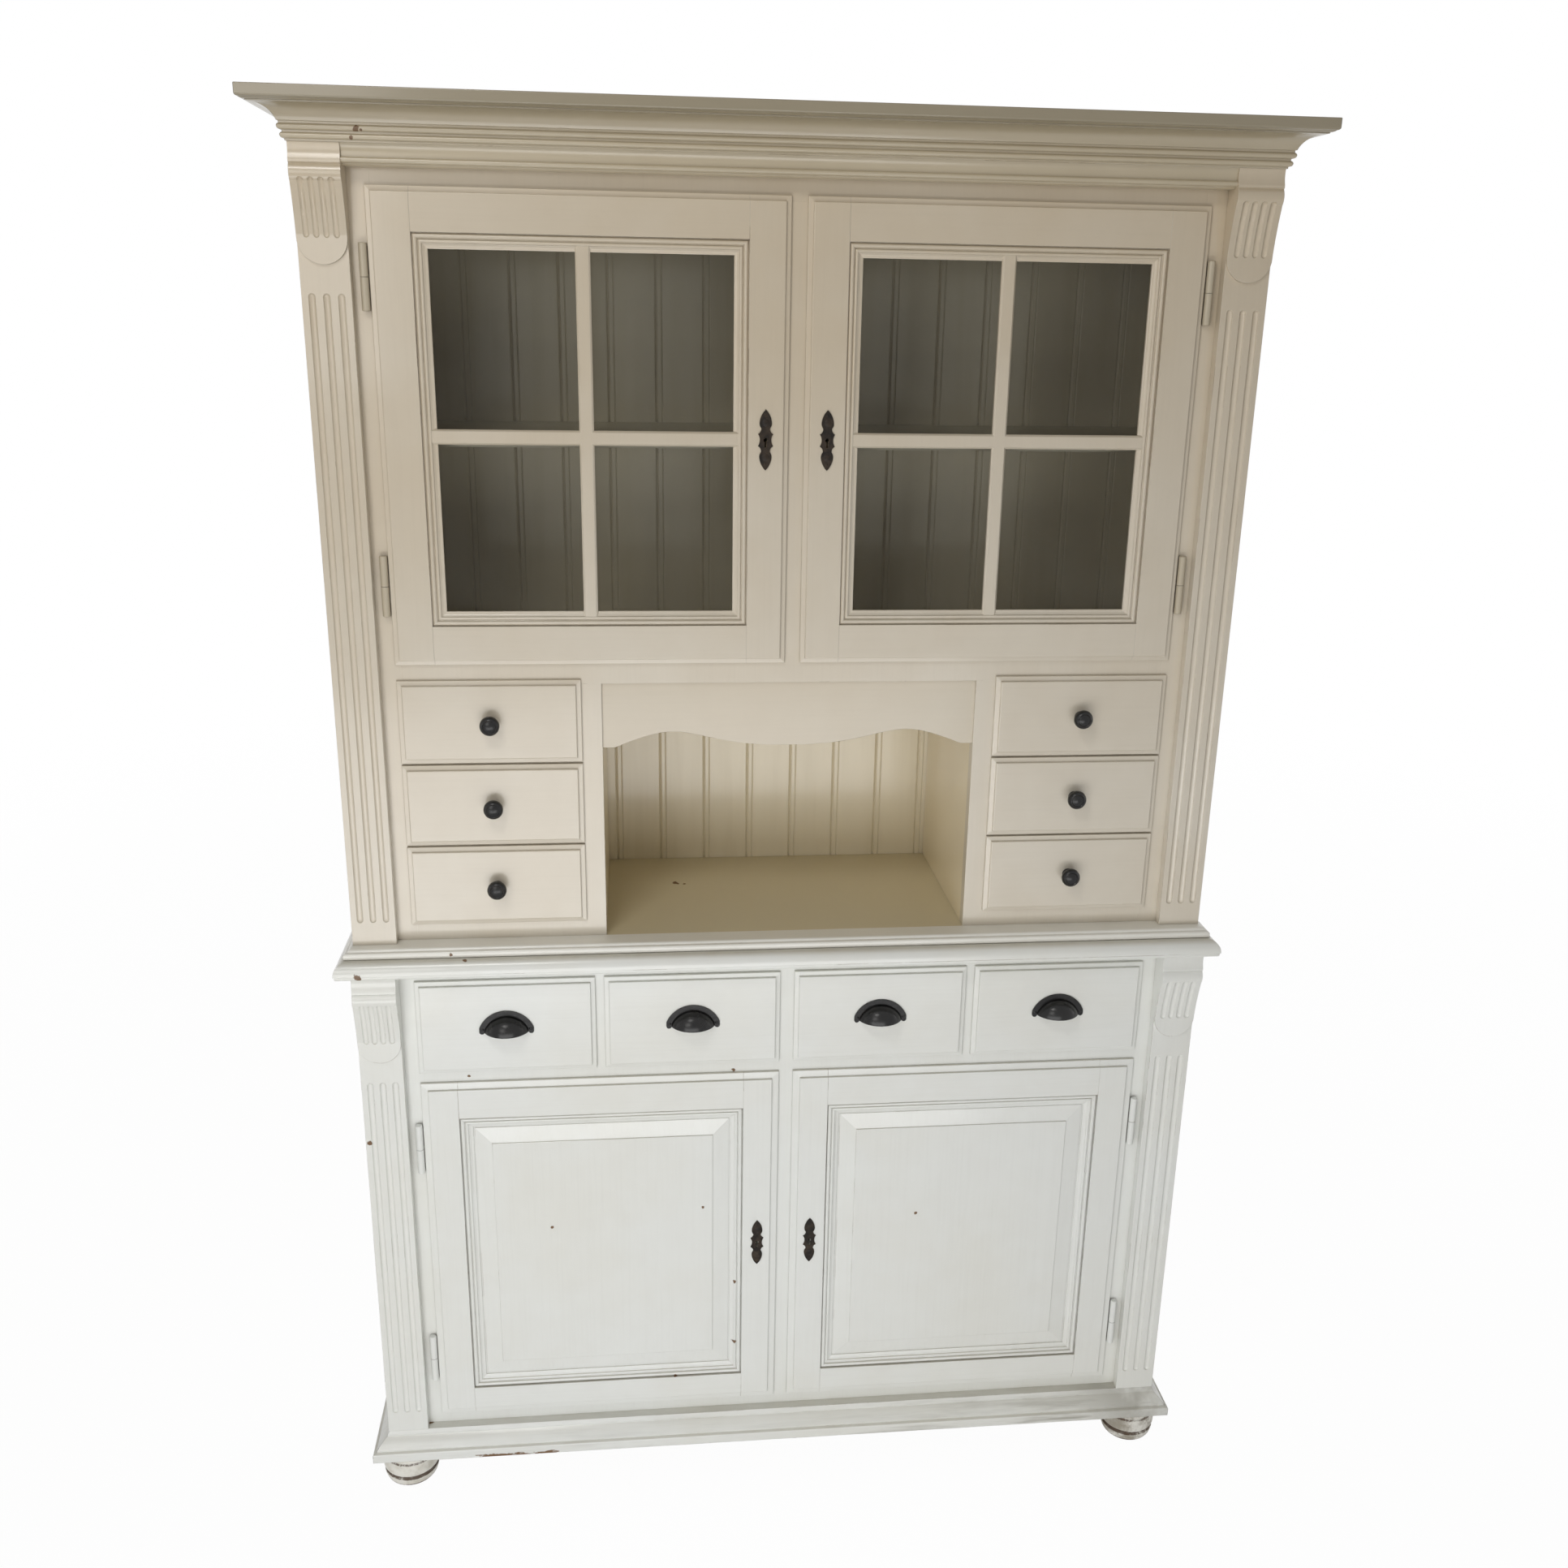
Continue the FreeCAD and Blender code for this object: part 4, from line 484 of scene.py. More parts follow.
def plinth_paint(name):
    """Plinth: scuffed grey in streaks along the floor, greyer towards the right, with darker blotches at
    its right end.
    """
    finish = Finish(name)
    streaks = finish.noise(1.0, 4.0, 0.6, finish.stretched(5.0, 40.0, 70.0))
    fading = finish.band(finish.z, plinth_low.z, plinth_high.z, 0.7, 0.3)
    scuffed = finish.band(streaks, 0.42, 0.68) * fading
    # Greyer towards the right, with darker blotches at the right end
    scuffed = scuffed * finish.band(finish.x, 0.0, HALF, 0.35, 1.4)
    blotches = finish.band(finish.noise(9.0, 4.0, 0.6), 0.38, 0.62)
    scuffed = scuffed.most(blotches * finish.band(finish.x, DARKENS_FROM, HALF, 0.0, 0.75)).least(0.9)
    ragged = finish.noise(1.0, 4.0, 0.65, finish.stretched(45.0, 45.0, 160.0))
    along = finish.band(abs(finish.x - SCRAPE_MIDDLE), 0.8 * SCRAPE_REACH, SCRAPE_REACH, 1.0, 0.0)
    low = finish.band(finish.z, plinth_low.z + SCRAPE_FULL, plinth_low.z + SCRAPE_TOP, 1.0, 0.0)
    scraped = finish.band(ragged * along * low, 0.36, 0.44) * (finish.y < plinth_low.y + SCRAPE_DEPTH)
    return painted(
        finish, BUFFET_CREAM, BUFFET_YELLOWED, 1.0, grain_of(finish, "X"),
        mitre_lines(finish, plinth_face), PLINTH_CHIPS, (scuffed, tone(PLINTH_GREY)), 0.35, scraped)


def door_paint(name, fresh, yellowed_and_shaded, worn, low, high, spots=()):
    """Paint on a door: hairlines where rails meet stiles and across the mitres of the moulding."""
    finish = Finish(name)
    side = abs(finish.x)
    beyond = (side > low.x) * (side < high.x)
    above = (finish.z > high.z).most(finish.z < low.z)
    is_rail = beyond * above
    butt = abs(side - low.x).least(abs(side - high.x))
    butts = finish.hairline(butt, JOINT_LINE) * above
    reach_x = (side - low.x).least(high.x - side)
    reach_z = (finish.z - low.z).least(high.z - finish.z)
    inside = (reach_x > 0.0) * (reach_z > 0.0) * (reach_x < MOULDING_WIDTH)
    mitres = finish.hairline(reach_x - reach_z, 0.4 * MM) * inside
    return painted(
        finish, fresh, yellowed_and_shaded, worn, frame_grain(finish, is_rail), butts.most(mitres), spots)


def drawer_finish(name, fresh, yellowed_and_shaded, worn, face, floor, tail_pitch):
    """Painted front on a bare pine box, dovetailed to it behind the lip."""
    finish = Finish(name)
    pine = pine_colour(finish, "Y")[0]
    joint_end = face + DRAWER_CORE - SIDE_SKIN
    behind = finish.y > face + FRONT_SKIN
    jointed = behind * (finish.y < joint_end)
    above = finish.z - floor
    from_tail = finish.node("Math", {"operation": "PINGPONG"}, {0: above, 1: tail_pitch / 2})
    slant = from_tail - finish.band(finish.y, face, joint_end, TAIL_WIDE, TAIL_NARROW)
    pine = finish.mix((slant > 0.0) * jointed * 0.6, pine, tone(END_GRAIN))
    pine = finish.mix(finish.hairline(slant, 0.6 * MM) * jointed * 0.8, pine, tone(JOINT_AND_GAP_SHADE))
    lines = grain_of(finish, "X")
    return painted(finish, fresh, yellowed_and_shaded, worn, lines, tint=(behind, pine), dust_and_shade=0.2)


def case_finish(name, outside, yellowed_and_shaded, inside):
    """Sides of a unit: paint outside, older flat paint inside."""
    finish = Finish(name)
    within = abs(finish.x) < HALF - SIDE_SKIN
    lines = grain_of(finish, "Z")
    return painted(finish, outside, yellowed_and_shaded, 0.3, lines, tint=(within, tone(inside)), dust_and_shade=0.25)


def hutch_case(name):
    """Hutch sides, decks and niche walls: lighter cream in the niche as painted light, greyer above as
    painted shade, bare pine on the roof.
    """
    finish = Finish(name)
    pine = pine_colour(finish, "X")[0]
    # Painted light and shade: lighter cream in the niche, greyer inside the glazed cupboard
    inside = finish.mix(finish.z > cupboard_floor, tone(NICHE_WALL_LIT), tone(CUPBOARD_INSIDE_SHADED))
    hue = finish.mix(finish.z > hutch_frame_high.z - TOP_SKIN, inside, pine)
    within = abs(finish.x) < HALF - SIDE_SKIN
    lines = grain_of(finish, "Z")
    return painted(finish, HUTCH_CREAM, HUTCH_YELLOWED_AND_SHADED, 0.3, lines, tint=(within, hue), dust_and_shade=0.25)


def niche_boards(name):
    """Back boards of the hutch: lighter cream in the niche as painted light, greyer behind the glass as
    painted shade, bare pine at the back.
    """
    finish = Finish(name)
    pine = pine_colour(finish, "Z")[0]
    lines = grain_of(finish, "Z")
    # Painted light and shade: lighter cream in the niche, greyer behind the glass
    front = finish.mix(finish.z > cupboard_floor, tone(NICHE_BOARDS_LIT), tone(CUPBOARD_INSIDE_SHADED))
    streaks = finish.band(finish.noise(1.0, 3.0, 0.6, finish.stretched(26.0, 26.0, 1.6)), 0.40, 0.70)
    front = finish.mix(streaks * 0.22, front, tone(BOARD_STREAK))
    pine = board_back(finish, pine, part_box("hutch_back_boards"), cupboard_floor)[0]
    hue = finish.mix(finish.y > BACK - BACK_SKIN, front, pine)
    return painted(finish, NICHE_BOARDS_LIT, HUTCH_YELLOWED_AND_SHADED, 0.2, lines, tint=(1.0, hue))


def base_finish(name):
    """Base board of the hutch: edge painted in the whitest cream as painted light, darker floor in the
    niche.
    """
    finish = Finish(name)
    inside = (abs(finish.x) < NICHE_HALF) * (finish.y > HUTCH_FACE)
    floor = inside * (finish.z > base_high.z - TOP_SKIN)
    lines = grain_of(finish, "X")
    return painted(
        finish, NOSE_LIT_CREAM, BUFFET_YELLOWED, 0.5, lines,
        spots=BASE_MARKS, tint=(floor, tone(NICHE_FLOOR)), dust_and_shade=0.05)


def hinge_paint(name):
    """Painted-over hinges: the tone of their unit, painted shade in the gaps, rubbed to iron on the edges.
    """
    finish = Finish(name)
    soft, edge = finish.rounded(0.8 * MM)
    shut = finish.hollow(9.0 * MM)
    fine = finish.noise(300.0, 4.0, 0.6)
    upper = finish.z > base_high.z
    colour = finish.mix(upper, tone(BUFFET_CREAM), tone(HINGE_CREAM))
    # Painted shade in the gaps round the knuckles
    colour = finish.mix(finish.band(shut, 0.25, 0.7) * 0.85, colour, tone(JOINT_AND_GAP_SHADE))
    rubbed = finish.band(edge * fine, 0.03, 0.09)
    colour = finish.mix(rubbed * 0.75, colour, tone(IRON_BRONZE))
    normal = finish.bump(fine - rubbed, 0.25 * MM, 0.5, soft)
    rough = 0.34 + 0.2 * rubbed + 0.2 * shut
    return finish.surface(
        Base_Color=colour, Roughness=rough, Normal=normal, Coat_Weight=0.2, Coat_Roughness=0.2)


def old_glass(name):
    """Thin clear pane: what is behind it shows, through a faint film and under its own reflection."""
    finish = Finish(name)
    film = finish.band(finish.noise(7.0, 4.0, 0.6), 0.4, 0.75)
    ripple = finish.noise(5.0, 1.0, 0.4)
    normal = finish.bump(ripple, 2.0 * MM, 0.12)
    clear = finish.node("BsdfTransparent", None, {"Color": GLASS_CLEAR})
    shine = finish.node("BsdfPrincipled", None, {
        "Base Color": GLASS_SHINE, "Roughness": 0.03, "Normal": normal, "Specular IOR Level": 0.5})
    facing = finish.node("Fresnel", None, {"IOR": GLASS_IOR, "Normal": normal})
    share = facing + 0.015 + 0.035 * film
    return finish.end_in(finish.node("MixShader", None, {0: share, 1: clear, 2: shine}))


def black_iron(name):
    """Knobs and cup pulls: black lacquer, bronze where hands rub it."""
    finish = Finish(name)
    soft, edge = finish.rounded(0.7 * MM)
    shut = finish.hollow(6.0 * MM)
    cast = finish.noise(420.0, 4.0, 0.6)
    cloud = finish.noise(60.0, 3.0, 0.55)
    rubbed = finish.band(edge, 0.02, 0.2) * finish.band(cloud, 0.4, 0.62)
    colour = finish.mix(finish.band(cloud, 0.35, 0.7) * 0.7, tone(IRON_BLACK), tone(IRON_CLOUD))
    colour = finish.mix(rubbed * 0.8, colour, tone(IRON_BRONZE))
    colour = finish.mix(shut * 0.6, colour, tone(IRON_DEEP))
    normal = finish.bump(0.6 * cast + 1.6 * cloud, 0.3 * MM, 0.55, soft)
    rough = 0.14 + 0.22 * cloud
    metal = 0.5 * rubbed
    return finish.surface(
        Base_Color=colour, Roughness=rough, Metallic=metal, Normal=normal, Specular_IOR_Level=0.35)


def bronzed_plate(name):
    """Keyhole plates and lock cases: brown-black, rubbed to bronze on rims and bosses."""
    finish = Finish(name)
    soft, edge = finish.rounded(0.7 * MM)
    shut = finish.hollow(5.0 * MM)
    cast = finish.noise(420.0, 4.0, 0.6)
    cloud = finish.noise(90.0, 3.0, 0.55)
    rubbed = finish.band(edge, 0.02, 0.15) * finish.band(cloud, 0.35, 0.6)
    colour = finish.mix(finish.band(cloud, 0.35, 0.7) * 0.5, tone(PLATE_BROWN), tone(IRON_BRONZE))
    colour = finish.mix(rubbed * 0.8, colour, tone(PLATE_BRONZE))
    colour = finish.mix(shut * 0.6, colour, tone(IRON_DEEP))
    normal = finish.bump(0.6 * cast + 1.2 * cloud, 0.3 * MM, 0.5, soft)
    rough = 0.34 + 0.2 * cloud
    metal = 0.6 * rubbed
    return finish.surface(
        Base_Color=colour, Roughness=rough, Metallic=metal, Normal=normal, Specular_IOR_Level=0.2)


def dull_steel(name):
    """Bolts, brads and screws: streaked steel with some rust."""
    finish = Finish(name)
    streak = finish.noise(1.0, 4.0, 0.6, finish.stretched(60.0, 900.0, 900.0))
    rust = finish.band(finish.noise(120.0, 4.0, 0.6), 0.55, 0.72)
    colour = finish.mix(rust * 0.5, tone(STEEL), tone(RUST))
    rough = 0.34 + 0.25 * streak + 0.25 * rust
    normal = finish.bump(streak, 0.1 * MM)
    return finish.surface(Base_Color=colour, Roughness=rough, Metallic=1.0, Normal=normal)


def worn_foot(name):
    """Turned feet: paint rubbed to brown wood on two rings and at the floor."""
    finish = Finish(name)
    soft, edge = finish.rounded(1.5 * MM)
    shut = finish.hollow(12.0 * MM)
    mottle = finish.noise(34.0, 5.0, 0.65)
    fine = finish.noise(240.0, 4.0, 0.6)
    ring = finish.band(abs(finish.z - FOOT_RING), 3 * MM, 6 * MM, 1.0, 0.0)
    hem = finish.band(finish.z, 4 * MM, FOOT_HEM, 1.0, 0.0)
    crest = finish.band(abs(finish.z - FOOT_CREST), 1 * MM, 4 * MM, 0.9, 0.0)
    worn = finish.band(ring.most(hem).most(crest) * (0.7 * mottle + 0.6 * fine), 0.42, 0.66)
    colour = finish.mix(finish.band(mottle, 0.40, 0.70), tone(FOOT_PALE), tone(FOOT_GREY))
    # Painted shade: darker where the foot is shut in, under the plinth
    colour = finish.mix(shut * 0.35, colour, tone(GRIME_AND_SHADE))
    # Darker blotches towards the right end
    darker_right = finish.band(mottle, 0.36, 0.60) * finish.band(finish.x, DARKENS_FROM, HALF, 0.0, 0.7)
    colour = finish.mix(darker_right, colour, tone(GRIME_AND_SHADE))
    colour = finish.mix(worn * 0.9, colour, tone(KNOT_BROWN))
    normal = finish.bump(0.5 * mottle + 0.2 * fine - worn, 0.5 * MM, 0.6, soft)
    rough = 0.36 + 0.3 * worn + 0.1 * mottle
    return finish.surface(Base_Color=colour, Roughness=rough, Normal=normal)


def assign(finish, *nodes):
    """Give CAD nodes a finish."""
    for node in nodes:
        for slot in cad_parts[node].material_slots:
            slot.material = finish


def hands(pattern, *words):
    """Names of left and right nodes, for each word."""
    return [pattern.format(hand, word) for hand in ("left", "right") for word in words]


def dress_cupboard():
    """Finishes of every CAD node."""
    each_way = Vector((1, 1, 1))
    glass_hole_low = glass_low - each_way * GLASS_EDGE_GAP
    glass_hole_high = glass_high + each_way * GLASS_EDGE_GAP
    panel_hole_low = panel_low + each_way * PANEL_TONGUE
    panel_hole_high = panel_high - each_way * PANEL_TONGUE

    assign(worn_foot("Worn feet"), "bun_feet")
    assign(plinth_paint("Plinth paint"), "plinth_frame")
    assign(case_finish("Buffet case", BUFFET_CREAM, BUFFET_YELLOWED, BUFFET_INSIDE),
           "buffet_carcass")
    assign(hutch_case("Hutch case"), "hutch_carcass")
    door_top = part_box("lower_right_door_frame")[1].z
    assign(bare_pine("Bare back boards", "Z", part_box("buffet_back_boards"), door_top),
           "buffet_back_boards")
    assign(niche_boards("Niche boards"), "hutch_back_boards")
    # Greyer paint inside the glazed cupboard: painted shade
    assign(plain_paint("Shaded inside paint", CUPBOARD_INSIDE_SHADED, CUPBOARD_INSIDE_SHADED, 0.2, "X"), "shelves")
    assign(plain_paint("Buffet upright paint", BUFFET_CREAM, BUFFET_YELLOWED, 0.6, "Z",
                       BUFFET_FRAME_CHIPS),
           "buffet_face_frame", "buffet_pilasters")
    assign(plain_paint("Hutch upright paint", HUTCH_CREAM, HUTCH_YELLOWED_AND_SHADED, 0.4, "Z"),
           "hutch_face_frame", "hutch_pilasters")
    assign(plain_paint("Buffet level paint", BUFFET_CREAM, BUFFET_YELLOWED, 0.7, "X", TOP_CHIPS),
           "buffet_top")
    assign(base_finish("Base board"), "hutch_base")
    # The valance's darker cream is painted shade
    assign(plain_paint("Shaded valance paint", VALANCE_SHADED_CREAM, HUTCH_YELLOWED_AND_SHADED, 0.3, "X"), "scalloped_valance")
    assign(cornice_paint("Cornice paint"), "cornice")
    assign(bare_pine("Runner pine", "Y"), "drawer_runners")

    assign(door_paint("Glazed door paint", HUTCH_CREAM, HUTCH_YELLOWED_AND_SHADED, 0.4,
                      glass_hole_low, glass_hole_high),
           *hands("upper_{}_door_{}", "frame"))
    assign(bar_paint("Glazing bar paint"), *hands("upper_{}_door_{}", "glazing_bars"))
    assign(old_glass("Old glass"), *hands("upper_{}_door_{}", "glass"))
    assign(door_paint("Panelled door paint", BUFFET_CREAM, BUFFET_YELLOWED, 0.7,
                      panel_hole_low, panel_hole_high, DOOR_CHIPS),
           *hands("lower_{}_door_{}", "frame"))
    assign(plain_paint("Panel paint", BUFFET_CREAM, BUFFET_YELLOWED, 0.7, "Z", PANEL_CHIPS),
           *hands("lower_{}_door_{}", "panel"))
    hinge = hinge_paint("Hinge paint")
    iron = black_iron("Black iron")
    plate = bronzed_plate("Bronzed plate")
    steel = dull_steel("Dull steel")
    assign(hinge, "hinge_pins")
    for storey in ("upper", "lower"):
        assign(hinge, *hands(storey + "_{}_door_{}", "hinges"))
        assign(plate, *hands(storey + "_{}_door_{}", "lock"))
        assign(steel, *hands(storey + "_{}_door_{}", "bolt"))
    assign(iron, *hands("hutch_{}_{}_knob", "bottom", "middle", "top"))
    assign(iron, *hands("buffet_{}_{}_cup_pull", "inner", "outer"))

    small_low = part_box("hutch_right_bottom_drawer")[0]
    next_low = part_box("hutch_right_middle_drawer")[0]
    wide_low, wide_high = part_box("buffet_right_inner_drawer")
    assign(drawer_finish("Hutch drawers", HUTCH_CREAM, HUTCH_YELLOWED_AND_SHADED, 0.4, HUTCH_FACE,
                         small_low.z, (next_low.z - small_low.z) / 4),
           *hands("hutch_{}_{}_drawer", "bottom", "middle", "top"))
    assign(drawer_finish("Buffet drawers", BUFFET_CREAM, BUFFET_YELLOWED, 0.5, BUFFET_FACE,
                         wide_low.z, (wide_high.z - wide_low.z) / 5),
           *hands("buffet_{}_{}_drawer", "inner", "outer"))


# Brads and screws: heads set on points by Geometry Nodes
BRAD_RADIUS = 1.1 * MM
BRAD_RISE = 0.6 * MM
BRAD_SPACING = 110.0 * MM
BRAD_SCATTER = 0.1
BRAD_SEED = 11
SCREW_RADIUS = 3.4 * MM
SCREW_RISE = 0.9 * MM
SCREW_SCATTER = 0.03
SCREW_SEED = 23
LOCK_SCREW_INSET = 6.0 * MM
LOCK_HALF_HEIGHT = 30.0 * MM
BEAD_WIDTH = 8.0 * MM


class HeadTree:
    """Geometry Nodes tree that sets one fastener head on each point of a mesh."""

    INPUTS = (
        ("Radius", "NodeSocketFloat"), ("Rise", "NodeSocketFloat"), ("Facing", "NodeSocketVector"),
        ("Scatter", "NodeSocketFloat"), ("Seed", "NodeSocketInt"), ("Finish", "NodeSocketMaterial"),
    )

    def __init__(self, name, slotted):
        self.tree = bpy.data.node_groups.new(name, "GeometryNodeTree")
        face = self.tree.interface
        face.new_socket("Points", in_out="INPUT", socket_type="NodeSocketGeometry")
        self.sockets = {}
        for label, kind in self.INPUTS:
            self.sockets[label] = face.new_socket(label, in_out="INPUT", socket_type=kind).identifier
        face.new_socket("Heads", in_out="OUTPUT", socket_type="NodeSocketGeometry")
        given = self.tree.nodes.new("NodeGroupInput").outputs
        radius, rise, scatter = given["Radius"], given["Rise"], given["Scatter"]
        size = self.node("ShaderNodeCombineXYZ", None, {0: radius, 1: radius, 2: rise})
        if slotted:
            disc = self.node("GeometryNodeMeshCylinder", None, {
                "Vertices": 16, "Radius": 1.0, "Depth": 2.0})
            slot = self.node("GeometryNodeMeshCube", None, {"Size": (3.0, 0.3, 2.0)})
            slot = self.node("GeometryNodeTransform", None, {0: slot, "Translation": (0.0, 0.0, 1.2)})
            head = self.node("GeometryNodeMeshBoolean", {"operation": "DIFFERENCE"}, {0: disc, 1: slot})
        else:
            head = self.node("GeometryNodeMeshUVSphere", None, {
                "Segments": 10, "Rings": 6, "Radius": 1.0})
        head = self.node("GeometryNodeTransform", None, {0: head, "Scale": size})
        turn = self.random(0.0, math.pi, given["Seed"])
        tip = self.random((-1.0, -1.0, -1.0), (1.0, 1.0, 1.0), given["Seed"])
        tip = self.node("ShaderNodeVectorMath", {"operation": "SCALE"}, {0: tip, "Scale": scatter})
        aim = self.node("ShaderNodeVectorMath", {"operation": "ADD"}, {0: given["Facing"], 1: tip})
        about = self.node("FunctionNodeAxisAngleToRotation", None, {
            "Axis": (0.0, 0.0, 1.0), "Angle": turn})
        aimed = self.node("FunctionNodeAlignRotationToVector", {"axis": "Z"}, {"Vector": aim})
        spun = self.node("FunctionNodeRotateRotation", {"rotation_space": "LOCAL"}, {0: aimed, 1: about})
        heads = self.node("GeometryNodeInstanceOnPoints", None, {
            "Points": given["Points"], "Instance": head, "Rotation": spun})
        heads = self.node("GeometryNodeRealizeInstances", None, {0: heads})
        heads = self.node("GeometryNodeSetShadeSmooth", None, {0: heads, "Shade Smooth": not slotted})
        heads = self.node("GeometryNodeSetMaterial", None, {0: heads, "Material": given["Finish"]})
        out = self.tree.nodes.new("NodeGroupOutput")
        self.tree.links.new(heads, out.inputs[0])

    def node(self, kind, settings=None, sockets=None):
        """Add a node: its type, its settings, then values or links for its sockets."""
        made = self.tree.nodes.new(kind)
        for key, value in (settings or {}).items():
            setattr(made, key, value)
        for key, value in (sockets or {}).items():
            if isinstance(value, bpy.types.NodeSocket):
                self.tree.links.new(value, made.inputs[key])
            else:
                made.inputs[key].default_value = value
        return made.outputs[0]

    def random(self, low, high, seed):
        """Random value for each point, the same on every run."""
        flat = isinstance(low, float)
        made = self.tree.nodes.new("FunctionNodeRandomValue")
        made.data_type = "FLOAT" if flat else "FLOAT_VECTOR"
        first = 2 if flat else 0
        made.inputs[first].default_value = low
        made.inputs[first + 1].default_value = high
        self.tree.links.new(seed, made.inputs["Seed"])
        return made.outputs[1 if flat else 0]

    def set_heads(self, name, body, slot, points, **values):
        """Heads on a list of points, as one plain mesh that rides on a body."""
        places = bpy.data.meshes.new(name + ".places")
        places.from_pydata(points, [], [])
        holder = bpy.data.objects.new(name + ".places", places)
        bpy.context.scene.collection.objects.link(holder)
        maker = holder.modifiers.new("heads", "NODES")
        maker.node_group = self.tree
        for label, value in values.items():
            maker[self.sockets[label]] = value
        ready = holder.evaluated_get(bpy.context.evaluated_depsgraph_get())
        mesh = bpy.data.meshes.new_from_object(ready)
        holder.modifiers.remove(maker)
        bpy.data.objects.remove(holder)
        piece = bpy.data.objects.new(name, mesh)
        bpy.context.scene.collection.objects.link(piece)
        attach(piece, body)


def brad_points(hand):
    """Brads along the four beads behind a pane."""
    low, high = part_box("upper_{}_door_glass".format(hand))
    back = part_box("upper_{}_door_glazing_bars".format(hand))[1].y
    inset = BEAD_WIDTH / 2
    points = []
    across = round((high.x - low.x) / BRAD_SPACING)
    upright = round((high.z - low.z) / BRAD_SPACING)
    for index in range(across):
        x = low.x + (index + 0.5) / across * (high.x - low.x)
        points += [(x, back, low.z + inset), (x, back, high.z - inset)]
    for index in range(upright):
        z = low.z + (index + 0.5) / upright * (high.z - low.z)
        points += [(low.x + inset, back, z), (high.x - inset, back, z)]
    return points


def lock_screw_points(door):
    """Four screws in the back of a lock case."""
    low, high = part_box(door + "_lock")
    middle = (low.z + high.z) / 2
    reach = LOCK_HALF_HEIGHT - LOCK_SCREW_INSET
    xs = (low.x + LOCK_SCREW_INSET, high.x - LOCK_SCREW_INSET)
    return [(x, high.y, middle + side * reach) for x in xs for side in (-1, 1)]


def fasten_cupboard():
    """Brads in the glazing beads, screws in the lock cases."""
    brads = HeadTree("Brad heads", False)
    screws = HeadTree("Screw heads", True)
    steel = bpy.data.materials["Dull steel"]
    backwards = (0.0, 1.0, 0.0)
    for seed, hand in enumerate(("left", "right")):
        door = "upper_{}_door".format(hand)
        brads.set_heads(
            door + "_brads", door, "lock_steel", brad_points(hand),
            Radius=BRAD_RADIUS, Rise=BRAD_RISE, Facing=backwards, Scatter=BRAD_SCATTER,
            Seed=seed + BRAD_SEED, Finish=steel)
        for storey in ("upper", "lower"):
            door = "{}_{}_door".format(storey, hand)
            screws.set_heads(
                door + "_lock_screws", door, "lock_steel", lock_screw_points(door),
                Radius=SCREW_RADIUS, Rise=SCREW_RISE, Facing=backwards, Scatter=SCREW_SCATTER,
                Seed=seed + SCREW_SEED, Finish=steel)


# Studio: size of the floor in metres, where it starts to fade, how white it looks, light from all round
FLOOR_RADIUS = 7.0
FLOOR_SIDES = 96
FLOOR_CLEAR = 1.2
FLOOR_LIFT = 0.97
FLOOR_TONE = (0.93, 0.93, 0.93, 1.0)
WHITE = (1.0, 1.0, 1.0, 1.0)
AMBIENT = 0.165
AMBIENT_TONE = (1.0, 0.97, 0.92, 1.0)

# Lamps: name, place, spot that it points at, width and height in metres, power in watts, colour
NEUTRAL = (1.0, 1.0, 1.0)
WARM = (1.0, 0.98, 0.95)
LAMPS = (
    ("low front", (-0.4, -2.05, 0.35), (-0.05, 0.0, 0.55), (2.4, 1.0), 21.5, NEUTRAL),
    ("high front", (-1.5, -2.8, 2.2), (0.0, 0.0, 1.1), (1.2, 1.2), 13.0, WARM),
    ("overhead", (-0.8, -1.7, 3.2), (0.0, 0.0, 1.0), (0.7, 0.5), 11.0, WARM),
    ("left side", (-3.4, 0.3, 1.5), (0.0, 0.0, 1.1), (1.8, 2.0), 13.0, WARM),
    ("right side", (3.4, 0.3, 1.5), (0.0, 0.0, 1.1), (1.8, 2.0), 18.0, WARM),
    ("back", (0.6, 3.2, 1.8), (0.0, 0.0, 1.0), (2.4, 2.0), 36.0, WARM),
)


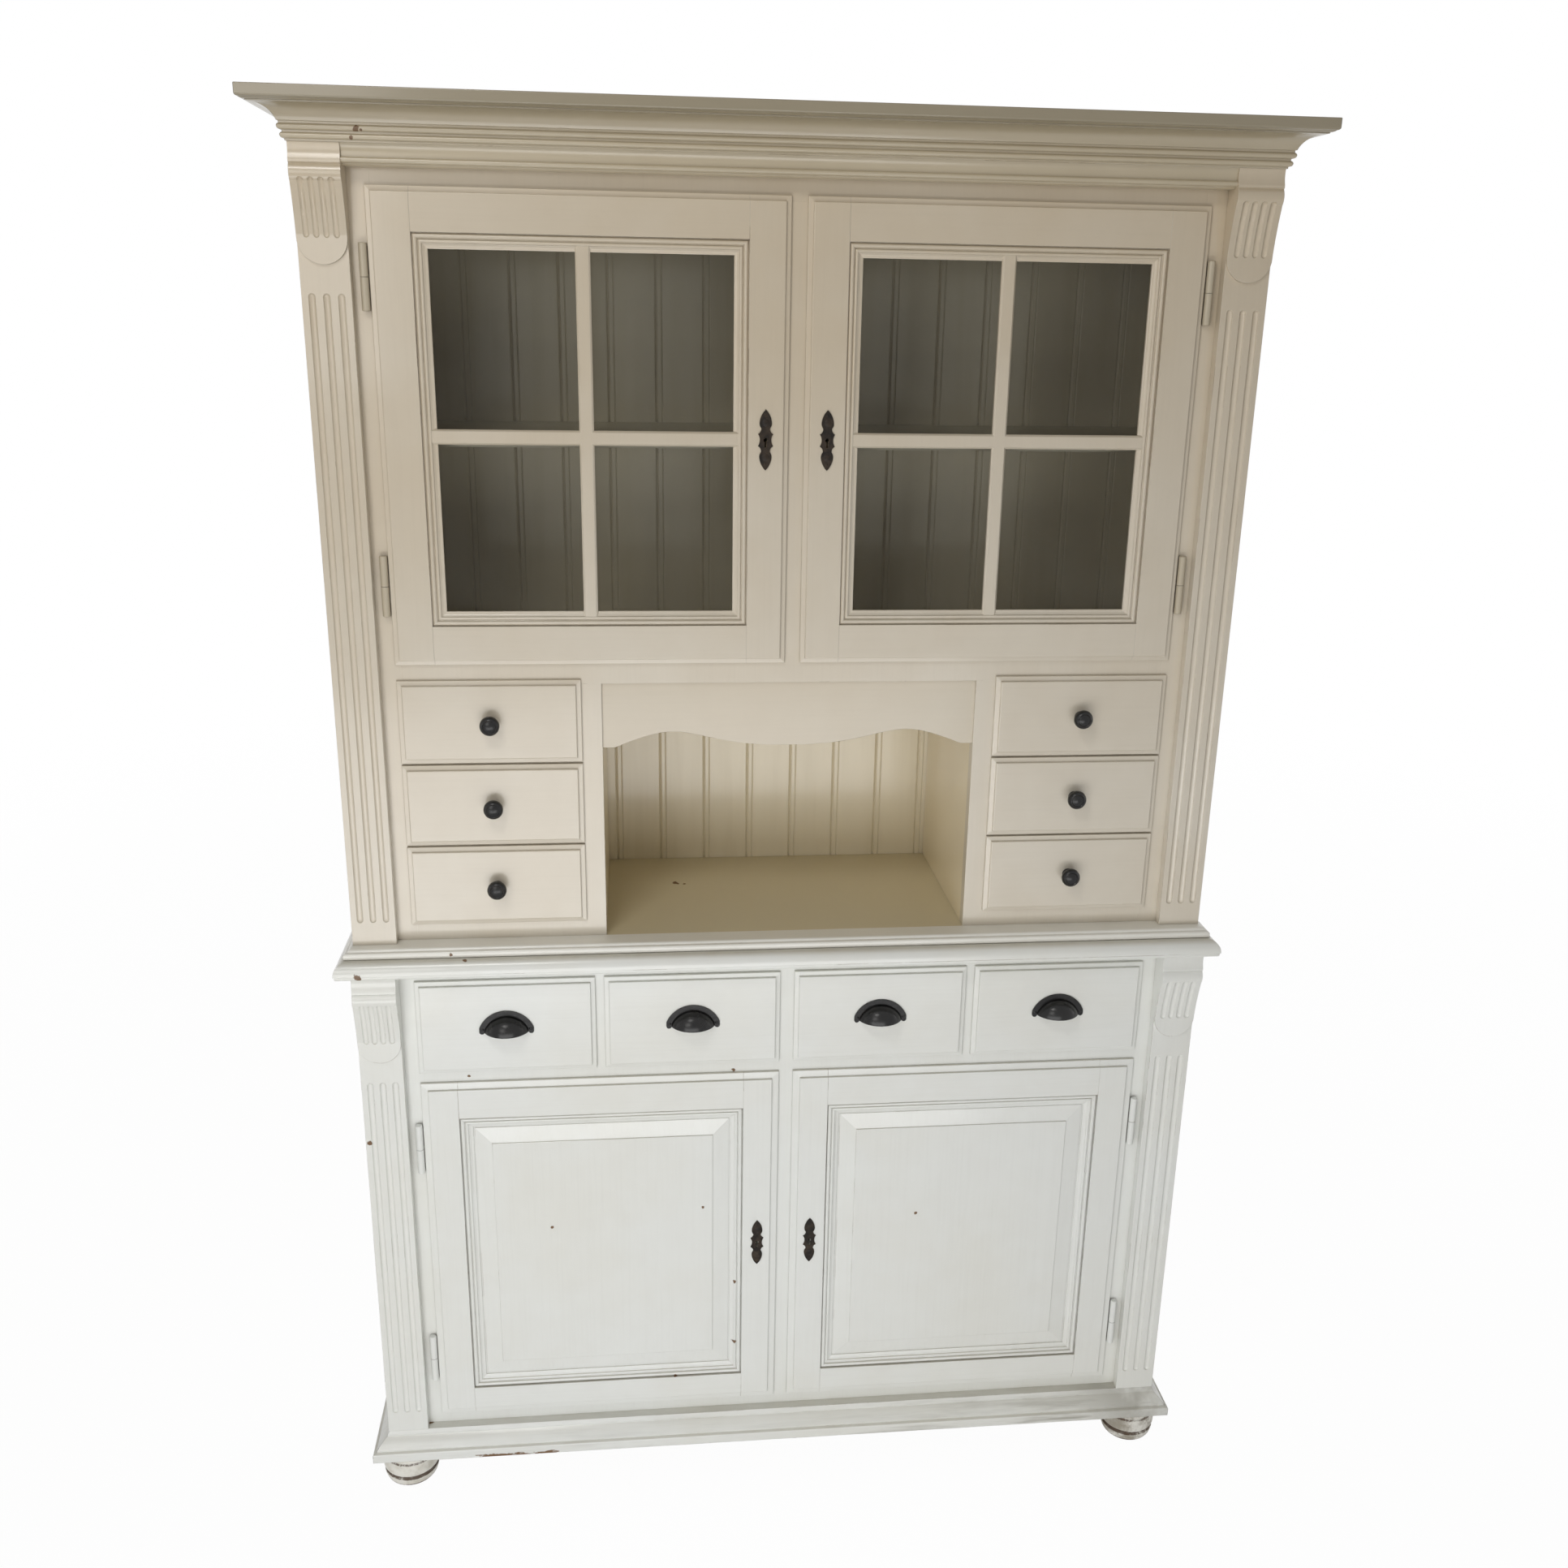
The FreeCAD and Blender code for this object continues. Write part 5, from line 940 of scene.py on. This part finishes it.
def pale_floor():
    """Pale floor that keeps the shadow near the feet and fades into the white surroundings."""
    mesh = bpy.data.meshes.new("floor")
    rim = []
    for index in range(FLOOR_SIDES):
        angle = 2 * math.pi * index / FLOOR_SIDES
        rim.append((FLOOR_RADIUS * math.cos(angle), FLOOR_RADIUS * math.sin(angle), 0.0))
    mesh.from_pydata(rim, [], [tuple(range(FLOOR_SIDES))])
    floor = bpy.data.objects.new("floor", mesh)
    bpy.context.scene.collection.objects.link(floor)
    finish = Finish("Pale floor")
    away = finish.node("VectorMath", {"operation": "LENGTH"}, {0: finish.place}, 1)
    fade = finish.band(away, FLOOR_CLEAR, FLOOR_RADIUS * 0.8)
    pale = finish.node("BsdfDiffuse", None, {"Color": FLOOR_TONE})
    white = finish.node("Emission", None, {"Color": WHITE, "Strength": 1.0})
    lifted = finish.node("MixShader", None, {0: finish.looked_at() * FLOOR_LIFT, 1: pale, 2: white})
    clear = finish.node("BsdfTransparent")
    both = finish.node("MixShader", None, {0: fade, 1: lifted, 2: clear})
    mesh.materials.append(finish.end_in(both))


def white_surroundings():
    """World that is white to the eye and in reflections, and a plain soft light on the object."""
    world = bpy.data.worlds.new("Studio")
    finish = Finish("Studio", world)
    soft = finish.node("Background", None, {"Color": AMBIENT_TONE, "Strength": AMBIENT})
    white = finish.node("Background", None, {"Color": WHITE, "Strength": 1.0})
    both = finish.node("MixShader", None, {0: finish.looked_at(), 1: soft, 2: white})
    finish.end_in(both, "OutputWorld")
    bpy.context.scene.world = world


def soft_lamp(name, place, aim, size, power, colour):
    """Rectangular soft lamp that points at a spot."""
    lamp = bpy.data.lights.new(name, "AREA")
    lamp.shape = "RECTANGLE"
    lamp.size, lamp.size_y = size
    lamp.energy = power
    lamp.color = colour
    holder = bpy.data.objects.new(name, lamp)
    bpy.context.scene.collection.objects.link(holder)
    holder.visible_camera = False
    holder.location = place
    holder.rotation_euler = (Vector(aim) - Vector(place)).to_track_quat("-Z", "Y").to_euler()


def photo_camera():
    """Camera at the photograph's place and angle."""
    data = bpy.data.cameras.new("camera")
    data.lens = CAMERA_LENS
    data.sensor_width = SENSOR
    camera = bpy.data.objects.new("camera", data)
    bpy.context.scene.collection.objects.link(camera)
    turn = Matrix.Rotation(-math.radians(CAMERA_TURN), 4, "Z")
    tilt = Matrix.Rotation(math.radians(90.0 - CAMERA_TILT), 4, "X")
    roll = Matrix.Rotation(math.radians(CAMERA_ROLL), 4, "Z")
    camera.matrix_world = Matrix.Translation(CAMERA_PLACE) @ turn @ tilt @ roll
    bpy.context.scene.camera = camera


dress_cupboard()
fasten_cupboard()
pale_floor()
white_surroundings()
for lamp in LAMPS:
    soft_lamp(*lamp)
photo_camera()
bpy.context.scene.view_settings.view_transform = "Standard"
